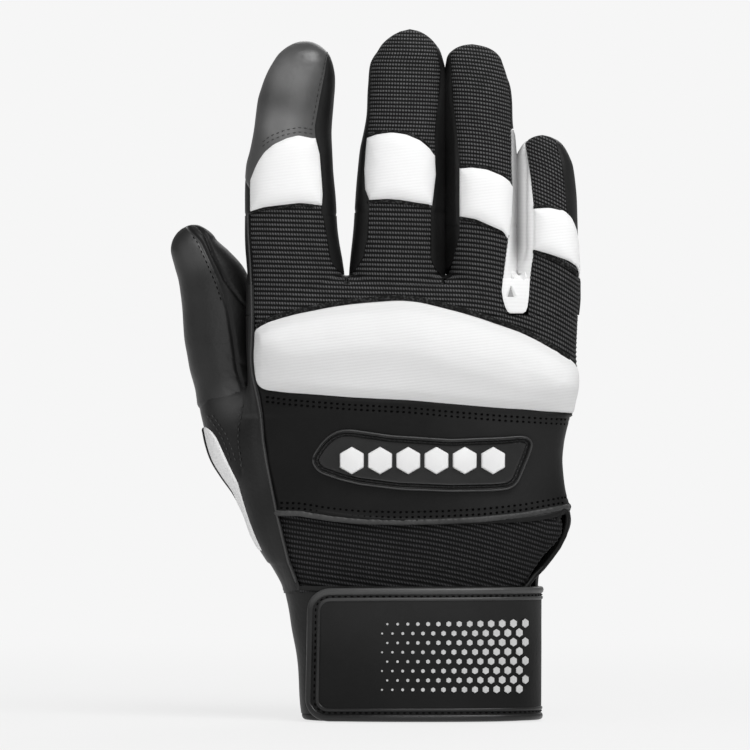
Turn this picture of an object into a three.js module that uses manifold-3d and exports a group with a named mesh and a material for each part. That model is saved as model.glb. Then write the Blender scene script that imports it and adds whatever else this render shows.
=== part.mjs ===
// Padded drumming glove for a right hand, standing on its cuff with the fingers up.
// Millimetres, +Z up the fingers, +X away from the thumb, -Y out of the back of the hand.
import * as THREE from 'three';
import { mergeVertices } from 'three/addons/utils/BufferGeometryUtils.js';
import Module from 'manifold-3d';

const wasm = await Module();
wasm.setup();

// Sizes of the whole glove
const HAND_LEFT = -42.3;
const HAND_DEPTH = 30;
const BACK_HEIGHT = 104;
const CUFF_HEIGHT = 44;
const WALL = 1.3;
const SEAM_GAP = 0.3;
const BACK_SEAM_Y = 2;
const OVERRUN = 30;

// Closure strap and the layers under it
const PATCH_THICKNESS = 0.8;
const STRAP_THICKNESS = 1.7;
const STRAP_BOTTOM = 0.6;
const STRAP_TAB_INSET = 1.1;
const STRAP_CORNER = 7;
const STRAP_EDGE_WIDTH = 3;
const STRAP_EDGE_RAISE = 0.5;
const STRAP_SPLIT_Y = 0.5;
const STRAP_ANCHOR_LENGTH = 12;
const LOOP_PATCH_WIDTH = 48;
const LOOP_PATCH_HEIGHT = 32;
const HOOK_PATCH_WIDTH = 30;
const HOOK_PATCH_HEIGHT = 26;
const TRANSFER_INSET = 25;
const TRANSFER_WIDTH = 44;
const TRANSFER_HEIGHT = 24;
const TRANSFER_THICKNESS = 0.3;

// Cuff
const CUFF_WALL = 1.6;
const CUFF_HEM_HEIGHT = 3;
const CUFF_HEM_THICKNESS = 0.9;
const CUFF_LINING_THICKNESS = 0.8;
const TAG_WIDTH = 14;
const TAG_HEIGHT = 10;
const TAG_THICKNESS = 0.4;

// Leather band and rubber badge on the back of the hand
const BAND_RAISE = 0.7;
const BADGE_THICKNESS = 1.6;
const BADGE_RIM_WIDTH = 1.7;
const BADGE_RIM_RAISE = 0.8;
const EMBLEM_THICKNESS = 1.1;
const EMBLEM_INSET = 7.8;
const EMBLEM_MARGIN = 0.2;
const EMBLEM_PLACE_SHARE = 0.41;
const EMBLEM_STUDS = 6;
const STUD_SIDES = 6;
const EMBLEM_WEB = 1.2;

// Padding
const CRESCENT_CROWN = 4;
const CRESCENT_SKIN = 0.9;
const PAD_CROWN = 2.2;
const PAD_SKIN = 0.8;

// Edge binding of the wrist slit
const BINDING_RADIUS = 1.1;
const BINDING_STEPS = 8;
const BINDING_HALF_SIDES = 3;
const SLIT_STRETCHES = 4;
const SLIT_TOP_SHARE = 0.95;

// Palm reinforcement
const PALM_PATCH_THICKNESS = 0.9;

// Roundness of the sections: a share of 1 is an ellipse, less is squarer
const HAND_ROUND_SHARE = 0.74;
const FINGER_ROUND_SHARE = 0.87;
const CUFF_ROUND_SHARE = 0.8;
const ROUND_POINTS = 12;
const HAND_POINTS = 20;

// Fingers: how large each one is, the gap before it, and how far its foot and its knuckle hinge lie above
// the top of the hand and above the foot. Each row of rowShares holds the place along the finger, the left
// and right edges as shares of the width, and the depth as a share of the depth.
const FINGERS = {
  index: {
    gap: 0.3, width: 30, depth: 21.5, length: 78.3, footRise: 0, hingeRise: 4.7, middleHingeShare: 0.447,
    seamShares: { left: [-0.47, -0.42], right: [0.42, 0.3] },
    padShares: { bottom: [0.277, 0.306, 0.298], top: [0.44, 0.587, 0.579] },
    rowShares: [
      [-0.25, -0.49, 0.5, 1], [0, -0.52, 0.56, 1], [0.05, -0.53, 0.545, 1], [0.15, -0.545, 0.5, 1],
      [0.37, -0.545, 0.455, 0.98], [0.47, -0.53, 0.435, 0.97], [0.54, -0.485, 0.425, 0.96],
      [0.62, -0.445, 0.42, 0.94], [0.75, -0.4, 0.445, 0.9], [0.82, -0.355, 0.46, 0.86],
      [0.88, -0.26, 0.44, 0.79], [0.92, -0.21, 0.41, 0.71], [0.96, -0.14, 0.36, 0.56],
      [0.985, -0.05, 0.27, 0.38], [1, 0.06, 0.2, 0.16],
    ],
  },
  middle: {
    gap: 5, width: 30, depth: 22, length: 82.3, footRise: 0, hingeRise: 6, middleHingeShare: 0.437,
    seamShares: { left: [-0.42, -0.33], right: [0.35, 0.4] },
    padShares: { bottom: [0.308, 0.308, 0.291], top: [0.563, 0.575, 0.49] },
    rowShares: [
      [-0.25, -0.53, 0.49, 1], [0, -0.555, 0.49, 1], [0.06, -0.545, 0.485, 1], [0.17, -0.51, 0.48, 1],
      [0.29, -0.49, 0.475, 0.99], [0.41, -0.465, 0.475, 0.98], [0.51, -0.435, 0.475, 0.96],
      [0.59, -0.39, 0.48, 0.95], [0.65, -0.365, 0.485, 0.93], [0.77, -0.345, 0.49, 0.89],
      [0.86, -0.32, 0.49, 0.82], [0.91, -0.24, 0.46, 0.73], [0.95, -0.165, 0.38, 0.6],
      [0.98, -0.06, 0.27, 0.42], [1, 0.03, 0.17, 0.16],
    ],
  },
  ring: {
    gap: 0.4, width: 24.6, depth: 21, length: 77.3, footRise: 0, hingeRise: 5.3, middleHingeShare: 0.349,
    seamShares: { left: [-0.38, -0.32], right: [0.33, 0.42] },
    padShares: { bottom: [0.254, 0.224, 0.172], top: [0.461, 0.457, 0.384] },
    rowShares: [
      [-0.25, -0.46, 0.49, 1], [0, -0.46, 0.49, 1], [0.1, -0.46, 0.49, 1], [0.3, -0.46, 0.49, 0.99],
      [0.5, -0.46, 0.485, 0.97], [0.59, -0.465, 0.46, 0.95], [0.66, -0.475, 0.42, 0.94],
      [0.8, -0.48, 0.39, 0.89], [0.87, -0.49, 0.335, 0.82], [0.92, -0.49, 0.28, 0.73],
      [0.95, -0.46, 0.24, 0.62], [0.98, -0.38, 0.13, 0.43], [1, -0.26, -0.05, 0.16],
    ],
  },
  pinky: {
    gap: 0.2, width: 19.8, depth: 18.5, length: 52, footRise: -5, hingeRise: -0.3, middleHingeShare: 0.378,
    seamShares: { left: [-0.34, -0.27], right: [0.47, 0.34] },
    padShares: { bottom: [0.256, 0.199, 0.09], top: [0.526, 0.52, 0.263] },
    rowShares: [
      [-0.4, -0.475, 0.43, 1], [-0.1, -0.475, 0.49, 1], [0, -0.475, 0.5, 1], [0.13, -0.475, 0.517, 1],
      [0.26, -0.475, 0.5, 1], [0.52, -0.475, 0.467, 0.97], [0.65, -0.475, 0.45, 0.94],
      [0.8, -0.475, 0.4, 0.86], [0.87, -0.475, 0.33, 0.77], [0.93, -0.43, 0.24, 0.64],
      [0.97, -0.35, 0.14, 0.46], [1, -0.22, -0.05, 0.16],
    ],
  },
};
const TIP_STATIONS = 8;
const PAD_STATIONS = 5;

// White side wall between the ring finger and the little finger, as places along and across each finger
const WALL_TOP_SHARES = { ring: 0.6, pinky: 0.97 };
const WALL_FRONT_SHARES = { ring: 0.37, pinky: -0.3 };
const WALL_BACK_Y = 4;
const WALL_BASE_SHARE = 0.885;

// Thumb: rowShares as for the fingers. It stands outside the hand and behind its middle plane.
const THUMB = {
  outset: 9.4, footShare: 0.6375, length: 55, width: 25, depth: 21, centreY: 13.2, hingeRise: 1.7,
  middleHingeShare: 0.52,
  rowShares: [
    [-0.15, -0.29, 0.6, 1], [0, -0.333, 0.58, 1], [0.115, -0.4, 0.55, 1], [0.206, -0.44, 0.525, 0.99],
    [0.297, -0.48, 0.505, 0.98], [0.388, -0.5, 0.49, 0.97], [0.479, -0.513, 0.475, 0.96],
    [0.57, -0.533, 0.445, 0.94], [0.66, -0.56, 0.385, 0.9], [0.752, -0.613, 0.28, 0.84],
    [0.842, -0.66, 0.107, 0.73], [0.903, -0.64, -0.013, 0.6], [0.95, -0.573, -0.133, 0.44],
    [1, -0.44, -0.333, 0.16],
  ],
  seamShares: [[-0.2, 0.5], [0, 0.36], [0.3, 0.24], [0.5, 0.1], [0.75, -0.12], [1, -0.36]],
};

// Hand sections: height share, left and right edges as shares of the width, front and back as shares of
// half the depth
const HAND_SHARES = [
  [-0.05, 0.11, 0.868, 1.1, 1.1], [0, 0.106, 0.876, 1.1, 1.1], [0.05, 0.082, 0.885, 1.08, 1.1],
  [0.12, 0.04, 0.935, 1.04, 1.1], [0.17, 0.015, 0.965, 1.02, 1.1], [0.22, 0.006, 0.977, 1, 1.1],
  [0.31, 0.003, 0.957, 0.98, 1.08], [0.4, 0.003, 0.947, 0.98, 1.06], [0.46, 0.003, 0.955, 0.99, 1.05],
  [0.55, 0.006, 0.979, 1, 1.04], [0.65, 0.006, 0.994, 1, 1.02], [0.75, 0.006, 0.985, 0.99, 0.99],
  [0.84, 0.006, 0.992, 0.94, 0.94], [0.92, 0.004, 1, 0.86, 0.86], [0.985, 0, 1, 0.7, 0.7],
];
const HAND_STATIONS = 10;

// Thumb root: height share, left and right edges as shares of the hand width, front and back in shares of
// half the hand depth
const ROOT_SHARES = [
  [0.08, 0.066, 0.3, -0.5, 1], [0.12, 0.04, 0.3, -0.5, 1.12], [0.17, 0.015, 0.29, -0.48, 1.25],
  [0.22, -0.009, 0.28, -0.45, 1.35], [0.27, -0.033, 0.26, -0.4, 1.45], [0.31, -0.055, 0.24, -0.35, 1.5],
  [0.36, -0.088, 0.22, -0.28, 1.54], [0.41, -0.115, 0.2, -0.2, 1.56], [0.46, -0.13, 0.17, -0.12, 1.57],
  [0.51, -0.139, 0.14, -0.04, 1.57], [0.56, -0.146, 0.1, 0.04, 1.57], [0.61, -0.155, 0.065, 0.12, 1.57],
  [0.64, -0.16, 0.046, 0.17, 1.57],
];
const ROOT_STATIONS = 6;

// Cuff sections: height share of the cuff, left and right edges as shares of the hand width
const CUFF_SHARES = [
  [0, 0.165, 0.852], [0.15, 0.157, 0.854], [0.5, 0.145, 0.855], [0.7, 0.132, 0.855], [0.85, 0.122, 0.855],
  [1, 0.108, 0.855],
];
const CUFF_DEPTH = 36;
const CUFF_STATIONS = 8;

// Seams on the back of the hand, as shares of its width and height
const CRESCENT_TOP_SHARES = [
  [-0.05, 0.815], [0.07, 0.86], [0.13, 0.878], [0.25, 0.9], [0.37, 0.917], [0.46, 0.923], [0.58, 0.9],
  [0.7, 0.865], [0.82, 0.82], [0.93, 0.76], [1, 0.67], [1.1, 0.64],
];
const CRESCENT_BOTTOM_SHARES = [
  [-0.05, 0.65], [0.13, 0.625], [0.25, 0.615], [0.4, 0.606], [0.58, 0.59], [0.76, 0.574], [0.89, 0.564],
  [1, 0.56], [1.1, 0.56],
];
const BAND_BOTTOM_SHARES = [
  [-0.05, 0.245], [0.1, 0.234], [0.25, 0.218], [0.46, 0.205], [0.6, 0.209], [0.8, 0.226], [1, 0.25],
  [1.1, 0.26],
];
const LEFT_SEAM_SHARES = [
  [-0.1, 0.17], [0, 0.158], [0.09, 0.127], [0.15, 0.112], [0.23, 0.09], [0.35, 0.073], [0.47, 0.048],
  [0.57, 0.042], [0.64, 0.033], [0.75, 0.02], [0.92, 0.012], [1.1, 0.01],
];
const SLIT_SHARES = [
  [-0.1, 0.8], [0, 0.835], [0.09, 0.885], [0.17, 0.945], [0.22, 0.96], [0.25, 0.94], [0.3, 0.93],
];
const BADGE_SHARES = [
  [0.2, 0.418], [0.215, 0.445], [0.27, 0.487], [0.295, 0.506], [0.43, 0.487], [0.61, 0.474], [0.76, 0.481],
  [0.83, 0.487], [0.851, 0.471], [0.839, 0.426], [0.824, 0.378], [0.806, 0.337], [0.794, 0.323],
  [0.73, 0.317], [0.61, 0.314], [0.46, 0.317], [0.34, 0.333], [0.28, 0.353], [0.225, 0.372], [0.203, 0.394],
];
const BADGE_TOP_SHARE = 0.474;
const GUSSET_EDGE_SHARES = [
  [0.11, -0.02], [0.15, 0], [0.186, 0.018], [0.25, -0.006], [0.314, -0.024], [0.356, -0.036],
  [0.394, -0.055], [0.436, -0.079], [0.474, -0.1], [0.516, -0.121], [0.53, -0.13],
];
const GUSSET_BACK_Y = 12;
const PALM_PATCH_SHARES = [[0.3, 0.12], [0.9, 0.12], [0.95, 0.5], [0.9, 0.78], [0.3, 0.8], [0.24, 0.5]];

const PANEL_STEPS = 8;
const SIDE_STEPS = 6;
const FINGER_PANEL_STEPS = 4;
const CORNER_STEPS = 5;
const MERGE_DISTANCE = 1e-5;
const HALF = 0.5;
const TURN = Math.PI / 2;

// Places across and up the hand, as shares of its width and of the height of its back
const HAND_WIDTH = Object.values(FINGERS).reduce((sum, finger) => sum + finger.gap + finger.width, 0);
const handX = (share) => HAND_LEFT + share * HAND_WIDTH;
const handZ = (share) => CUFF_HEIGHT + share * BACK_HEIGHT;
const backShare = (z) => (z - CUFF_HEIGHT) / BACK_HEIGHT;
const acrossShare = (x) => (x - HAND_LEFT) / HAND_WIDTH;

// Where each finger and the thumb stand
let nextLeft = HAND_LEFT;
for (const finger of Object.values(FINGERS)) {
  finger.middle = nextLeft + finger.gap + finger.width * HALF;
  finger.base = handZ(1) + finger.footRise;
  finger.knuckleHinge = finger.base + finger.hingeRise;
  nextLeft += finger.gap + finger.width;
}
THUMB.middle = HAND_LEFT - THUMB.outset;
THUMB.base = handZ(THUMB.footShare);
THUMB.knuckleHinge = THUMB.base + THUMB.hingeRise;

// Materials
const finish = (colour, roughness, metalness = 0) =>
  new THREE.MeshStandardMaterial({ color: colour, roughness, metalness });
const blackLeather = finish(0x1b1b1d, 0.5);
const glossLeather = finish(0x2a2a2d, 0.34);
const blackKnit = finish(0x1c1c1f, 0.9);
const whiteKnit = finish(0xf1f1f1, 0.8);
const whiteWall = finish(0xf3f3f3, 0.75);
const blackRubber = finish(0x161617, 0.55);
const whiteRubber = finish(0xf5f5f5, 0.45);
const silverFilm = finish(0xb9bbbe, 0.35, 0.4);
const foam = finish(0xd8d4c4, 0.95);
const blackWeb = finish(0x141416, 0.7);

// A smooth value read from rows of [place, value, value, ...]
function readRow(rows, place, column) {
  let low = 0;
  while (low < rows.length - 2 && rows[low + 1][0] < place) low += 1;
  const before = rows[Math.max(low - 1, 0)];
  const start = rows[low];
  const end = rows[low + 1];
  const after = rows[Math.min(low + 2, rows.length - 1)];
  const span = end[0] - start[0];
  const share = THREE.MathUtils.clamp((place - start[0]) / span, 0, 1);
  const slopeStart = (end[column] - before[column]) / (end[0] - before[0]) * span;
  const slopeEnd = (after[column] - start[column]) / (after[0] - start[0]) * span;
  const square = share * share;
  const cube = square * share;
  return (2 * cube - 3 * square + 1) * start[column] + (cube - 2 * square + share) * slopeStart
    + (3 * square - 2 * cube) * end[column] + (cube - square) * slopeEnd;
}

// Solids and meshes
function solidOf(geometry) {
  const bare = geometry.clone();
  bare.deleteAttribute('normal');
  bare.deleteAttribute('uv');
  const merged = mergeVertices(bare, MERGE_DISTANCE);
  return new wasm.Manifold(new wasm.Mesh({
    numProp: 3,
    vertProperties: new Float32Array(merged.attributes.position.array),
    triVerts: new Uint32Array(merged.index.array),
  }));
}

function meshOf(name, solid, material) {
  const { vertProperties, triVerts } = solid.getMesh();
  const geometry = new THREE.BufferGeometry();
  geometry.setAttribute('position', new THREE.BufferAttribute(new Float32Array(vertProperties), 3));
  geometry.setIndex(new THREE.BufferAttribute(new Uint32Array(triVerts), 1));
  geometry.computeVertexNormals();
  const mesh = new THREE.Mesh(geometry, material);
  mesh.name = name;
  return mesh;
}

// A closed tube whose section at each height is a rounded box: section(z) gives its edges
function loft(section, low, high, stations, points, power, ease = 1) {
  const geometry = new THREE.CylinderGeometry(1, 1, 1, points, stations);
  const place = geometry.attributes.position;
  for (let i = 0; i < place.count; i += 1) {
    const share = 1 - (HALF - place.getY(i)) ** ease;
    const z = low + share * (high - low);
    const { left, right, front, back } = section(z);
    const across = Math.sign(place.getX(i)) * Math.abs(place.getX(i)) ** power;
    const deep = Math.sign(place.getZ(i)) * Math.abs(place.getZ(i)) ** power;
    place.setXYZ(
      i,
      (left + right) * HALF + across * (right - left) * HALF,
      (front + back) * HALF - deep * (back - front) * HALF,
      z,
    );
  }
  return solidOf(geometry);
}

// A solid with the outline given in X and Z, reaching from one depth to another
function prism(outline, front, back) {
  const shape = new THREE.Shape(outline.map(([x, z]) => new THREE.Vector2(x, z)));
  const geometry = new THREE.ExtrudeGeometry(shape, { depth: back - front, bevelEnabled: false });
  geometry.rotateX(TURN);
  geometry.translate(0, back, 0);
  return solidOf(geometry);
}

function box(left, width, bottom, height) {
  return [[left, bottom], [left + width, bottom], [left + width, bottom + height], [left, bottom + height]];
}

function slab(low, high) {
  const reach = HAND_WIDTH * 2;
  const geometry = new THREE.BoxGeometry(reach, reach, high - low);
  geometry.translate(0, 0, (low + high) * HALF);
  return solidOf(geometry);
}

// Sections of the hand, thumb root and cuff, grown outwards by the given amount
function handSection(grow) {
  return (z) => {
    const share = backShare(z);
    return {
      left: handX(readRow(HAND_SHARES, share, 1)) - grow,
      right: handX(readRow(HAND_SHARES, share, 2)) + grow,
      front: -readRow(HAND_SHARES, share, 3) * HAND_DEPTH * HALF - grow,
      back: readRow(HAND_SHARES, share, 4) * HAND_DEPTH * HALF + grow,
    };
  };
}

function rootSection(grow) {
  return (z) => {
    const share = backShare(z);
    return {
      left: handX(readRow(ROOT_SHARES, share, 1)) - grow,
      right: handX(readRow(ROOT_SHARES, share, 2)) + grow,
      front: readRow(ROOT_SHARES, share, 3) * HAND_DEPTH * HALF - grow,
      back: readRow(ROOT_SHARES, share, 4) * HAND_DEPTH * HALF + grow,
    };
  };
}

function cuffSection(grow) {
  return (z) => {
    const share = z / CUFF_HEIGHT;
    return {
      left: handX(readRow(CUFF_SHARES, share, 1)) - grow,
      right: handX(readRow(CUFF_SHARES, share, 2)) + grow,
      front: -CUFF_DEPTH * HALF - grow,
      back: CUFF_DEPTH * HALF + grow,
    };
  };
}

// Section of a finger or thumb; the inside ends one wall short of the tip
function fingerSection(finger, grow) {
  const length = finger.length + grow;
  return (z) => {
    const along = (z - finger.base) / length;
    const halfDepth = readRow(finger.rowShares, along, 3) * finger.depth * HALF;
    const left = finger.middle + readRow(finger.rowShares, along, 1) * finger.width - grow;
    const right = finger.middle + readRow(finger.rowShares, along, 2) * finger.width + grow;
    const narrow = Math.max((left - right) * HALF + PAD_SKIN * HALF, 0);
    const deep = Math.max(halfDepth + grow, PAD_SKIN * HALF);
    const centre = finger.centreY ?? 0;
    return { left: left - narrow, right: right + narrow, front: centre - deep, back: centre + deep };
  };
}

const fingerZ = (finger, share) => finger.base + share * finger.length;

function fingerLoft(finger, grow, low) {
  const top = finger.base + finger.length + grow;
  return loft(fingerSection(finger, grow), low, top, TIP_STATIONS, ROUND_POINTS, FINGER_ROUND_SHARE, 2);
}

function handLoft(grow) {
  const top = handZ(HAND_SHARES[HAND_SHARES.length - 1][0]) + grow;
  return loft(handSection(grow), CUFF_HEIGHT - OVERRUN, top, HAND_STATIONS, HAND_POINTS, HAND_ROUND_SHARE);
}

function rootLoft(grow) {
  const low = handZ(ROOT_SHARES[0][0]);
  const top = THUMB.knuckleHinge + WALL;
  return loft(rootSection(grow), low, top, ROOT_STATIONS, ROUND_POINTS, FINGER_ROUND_SHARE);
}

function cuffLoft(grow) {
  const overrun = CUFF_HEIGHT * HALF;
  const top = CUFF_HEIGHT + overrun;
  return loft(cuffSection(grow), -overrun, top, CUFF_STATIONS, HAND_POINTS, CUFF_ROUND_SHARE);
}

// A layer of the cuff between two surfaces grown from it, and between two heights
function cuffLayer(inner, outer, low, high) {
  return cuffLoft(outer).subtract(cuffLoft(inner)).intersect(slab(low, high));
}

// Whole hand with its finger roots, solid to the outside or to the inside of the wall
function wholeHand(grow, overTop) {
  let whole = handLoft(grow);
  whole = whole.add(rootLoft(grow).intersect(slab(0, THUMB.knuckleHinge + overTop)));
  for (const finger of Object.values(FINGERS)) {
    const low = finger.base + finger.rowShares[0][0] * finger.length;
    const root = fingerLoft(finger, grow, low).intersect(slab(0, finger.knuckleHinge + overTop));
    whole = whole.add(root);
  }
  return whole;
}

const outerHand = wholeHand(0, -SEAM_GAP * HALF);
const innerHand = wholeHand(-WALL, OVERRUN * HALF);
const aboveCuff = slab(CUFF_HEIGHT + SEAM_GAP, handZ(1) + OVERRUN);
const halfGap = -SEAM_GAP * HALF;
const pinkyLeft = FINGERS.pinky.middle + FINGERS.pinky.rowShares[0][1] * FINGERS.pinky.width + halfGap;
const pinkyFoot = FINGERS.pinky.knuckleHinge + halfGap;
const abovePinky = prism(box(pinkyLeft, OVERRUN, pinkyFoot, OVERRUN), -HAND_DEPTH, HAND_DEPTH);
const handShell = outerHand.subtract(innerHand).intersect(aboveCuff).subtract(abovePinky);

// Curves of the seams in real sizes
const seamCurve = (shares) => (x) => handZ(readRow(shares, acrossShare(x), 1));
const crescentTop = seamCurve(CRESCENT_TOP_SHARES);
const crescentBottom = seamCurve(CRESCENT_BOTTOM_SHARES);
const bandBottom = seamCurve(BAND_BOTTOM_SHARES);
const leftSeam = (z) => handX(readRow(LEFT_SEAM_SHARES, backShare(z), 1));
const slitEdge = (z) => handX(readRow(SLIT_SHARES, backShare(z), 1));

function curvePoints(curve, from, to, steps, shift) {
  return Array.from({ length: steps + 1 }, (_, i) => {
    const x = from + (to - from) * i / steps;
    return [x, curve(x) + shift];
  });
}

function sidePoints(edge, from, to, steps, shift) {
  return Array.from({ length: steps + 1 }, (_, i) => {
    const z = from + (to - from) * i / steps;
    return [edge(z) + shift, z];
  });
}

const pastRight = handX(1) + OVERRUN;

// Outline of a back panel between two seam curves, from the left seam out past the right side
function bandOutline(lower, upper, grow) {
  const lowLeft = leftSeam(lower(handX(0))) - grow;
  const topLeft = leftSeam(upper(handX(0))) - grow;
  const halfway = (lower(handX(0)) + upper(handX(0))) * HALF;
  return [
    ...curvePoints(lower, lowLeft, pastRight, PANEL_STEPS, -grow),
    ...curvePoints(upper, topLeft, pastRight, PANEL_STEPS, grow).reverse(),
    [leftSeam(halfway) - grow, halfway],
  ];
}

const root = new THREE.Group();
const pieces = [];
function keep(name, solid, material) {
  const [largest] = solid.decompose().sort((a, b) => b.volume() - a.volume());
  pieces.push(meshOf(name, largest, material));
}

// Back panels of the hand
const frontReach = -HAND_DEPTH;
const dorsal = (outline) => prism(outline, frontReach, BACK_SEAM_Y);
const topOfHand = () => handZ(1) + OVERRUN;

const knuckleOutline = (grow) => bandOutline(crescentTop, topOfHand, grow);
const crescentOutline = (grow) => bandOutline(crescentBottom, crescentTop, grow);
const bandPanelOutline = (grow) => bandOutline(bandBottom, crescentBottom, grow);

function wristOutline(grow) {
  const low = CUFF_HEIGHT;
  const topLeft = bandBottom(handX(0));
  const topRight = bandBottom(slitEdge(topLeft));
  const across = curvePoints(bandBottom, leftSeam(topLeft) - grow, slitEdge(topRight), PANEL_STEPS, grow);
  return [
    ...sidePoints(slitEdge, low, topRight + grow, SIDE_STEPS, grow),
    ...across.reverse().slice(1),
    ...sidePoints(leftSeam, low, topLeft, SIDE_STEPS, -grow).reverse().slice(1),
  ];
}

// The side wall panel at the foot of the gap between the ring finger and the little finger
const ringWallX = FINGERS.ring.middle + WALL_FRONT_SHARES.ring * FINGERS.ring.width;
const pinkyWallX = FINGERS.pinky.middle + WALL_FRONT_SHARES.pinky * FINGERS.pinky.width;
const wallFoot = handZ(WALL_BASE_SHARE);
const wallBaseOutline = (grow) => [
  [ringWallX - grow, topOfHand()],
  [ringWallX - WALL * 2 - grow, wallFoot + WALL * 3],
  [ringWallX - WALL - grow, wallFoot - grow],
  [pinkyWallX + WALL * HALF + grow, wallFoot - WALL - grow],
  [pinkyWallX + WALL + grow, wallFoot + WALL * 3],
  [pinkyWallX + grow, topOfHand()],
];

const wallBase = handShell.intersect(prism(wallBaseOutline(halfGap), frontReach, WALL_BACK_Y));
keep('fourchette_base', wallBase, whiteWall);

const knucklePanel = handShell
  .intersect(dorsal(knuckleOutline(halfGap)))
  .subtract(prism(wallBaseOutline(-halfGap), frontReach, WALL_BACK_Y - halfGap));
keep('knuckle_knit_panel', knucklePanel, blackKnit);

// Padded crescent: a skin over foam, crowned between its two seams
function crownedHand(crown, inset) {
  const flat = handSection(inset);
  const geometry = new THREE.CylinderGeometry(1, 1, 1, HAND_POINTS, HAND_STATIONS);
  const place = geometry.attributes.position;
  const low = crescentBottom(handX(1)) - WALL;
  const high = crescentTop(handX(HALF)) + WALL;
  for (let i = 0; i < place.count; i += 1) {
    const z = low + (place.getY(i) + HALF) * (high - low);
    const { left, right, front, back } = flat(z);
    const across = Math.sign(place.getX(i)) * Math.abs(place.getX(i)) ** HAND_ROUND_SHARE;
    const deep = Math.sign(place.getZ(i)) * Math.abs(place.getZ(i)) ** HAND_ROUND_SHARE;
    const x = (left + right) * HALF + across * (right - left) * HALF;
    const share = (z - crescentBottom(x)) / (crescentTop(x) - crescentBottom(x));
    const rise = crown * Math.sin(Math.PI * THREE.MathUtils.clamp(share, 0, 1)) ** HALF;
    const frontHalf = Math.max(deep, 0);
    place.setXYZ(i, x, (front + back) * HALF - deep * (back - front) * HALF - rise * frontHalf, z);
  }
  return solidOf(geometry);
}

const crescentPrism = dorsal(crescentOutline(halfGap));
const crescentUnder = crownedHand(CRESCENT_CROWN - CRESCENT_SKIN, -SEAM_GAP);
const crescentSkin = crownedHand(CRESCENT_CROWN, 0).subtract(crescentUnder).subtract(innerHand);
keep('crescent_cover', crescentSkin.intersect(crescentPrism), whiteKnit);

const foamTop = crownedHand(CRESCENT_CROWN - CRESCENT_SKIN - SEAM_GAP, -SEAM_GAP * 2);
const foamPrism = prism(crescentOutline(halfGap * 2 - WALL * 2), frontReach, BACK_SEAM_Y - WALL * 4);
keep('crescent_foam', foamTop.subtract(innerHand).intersect(foamPrism), foam);

// Leather band under the crescent
const raisedBand = handLoft(BAND_RAISE).subtract(innerHand).intersect(aboveCuff);
keep('leather_band', raisedBand.intersect(dorsal(bandPanelOutline(halfGap))), blackLeather);

// Stretch knit between the band and the strap
keep('wrist_knit_panel', handShell.intersect(dorsal(wristOutline(halfGap))), blackKnit);

// Rubber badge: a plate with a raised rim
const badgePoints = (inset) => {
  const middle = new THREE.Vector2();
  const outline = BADGE_SHARES.map(([u, v]) => new THREE.Vector2(handX(u), handZ(v)));
  outline.forEach((point) => middle.add(point));
  middle.divideScalar(outline.length);
  return outline.map((point) => {
    const inward = middle.clone().sub(point);
    const sideways = Math.min(inset, Math.abs(inward.x)) * Math.sign(inward.x) * HALF;
    return [point.x + sideways, point.y + Math.sign(inward.y) * Math.min(inset, Math.abs(inward.y))];
  });
};
const badgeBack = BAND_RAISE + SEAM_GAP;
const badgeFace = badgeBack + BADGE_THICKNESS;
const badgeLayer = (inner, outer) => handLoft(outer).subtract(handLoft(inner));
const badgePlate = badgeLayer(badgeBack, badgeFace).intersect(prism(badgePoints(0), frontReach, 0));
const badgeRim = badgeLayer(badgeBack, badgeFace + BADGE_RIM_RAISE)
  .intersect(prism(badgePoints(0), frontReach, 0))
  .subtract(prism(badgePoints(BADGE_RIM_WIDTH), frontReach, 0));
keep('badge_plate', badgePlate.add(badgeRim), blackRubber);

// Emblem: a row of six-sided studs on one web
const emblemZ = handZ(EMBLEM_PLACE_SHARE);
const emblemLeft = handX(Math.min(...BADGE_SHARES.map(([u]) => u))) + EMBLEM_INSET;
const emblemRight = handX(Math.max(...BADGE_SHARES.map(([u]) => u))) - EMBLEM_INSET;
const badgeTop = handZ(BADGE_TOP_SHARE) - BADGE_RIM_WIDTH;
const studRadius = badgeTop - EMBLEM_MARGIN - emblemZ;

function emblemOutline() {
  const first = emblemLeft + studRadius;
  const last = emblemRight - studRadius;
  let row = prism(box(first, last - first, emblemZ - EMBLEM_WEB, EMBLEM_WEB * 2), frontReach, 0);
  for (let i = 0; i < EMBLEM_STUDS; i += 1) {
    const stud = new THREE.CylinderGeometry(studRadius, studRadius, -frontReach, STUD_SIDES);
    stud.translate(first + (last - first) * i / (EMBLEM_STUDS - 1), frontReach * HALF, emblemZ);
    row = row.add(solidOf(stud));
  }
  return row;
}
const emblemBack = badgeFace + SEAM_GAP;
const emblemLayer = badgeLayer(emblemBack, emblemBack + EMBLEM_THICKNESS);
keep('badge_emblem', emblemLayer.intersect(emblemOutline()), whiteRubber);

// White gusset at the root of the thumb
const gussetOutline = (grow) => {
  const edge = GUSSET_EDGE_SHARES.map(([v, u]) => [handX(u) + grow, handZ(v)]);
  const top = edge[edge.length - 1];
  return [
    [edge[0][0], edge[0][1] - grow], ...edge, [top[0], top[1] + grow],
    [top[0] - OVERRUN, top[1] + grow], [edge[0][0] - OVERRUN, edge[0][1] - grow],
  ];
};
const gussetPrism = prism(gussetOutline(halfGap), frontReach, GUSSET_BACK_Y);
keep('thumb_gusset', handShell.intersect(gussetPrism), whiteWall);

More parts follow.
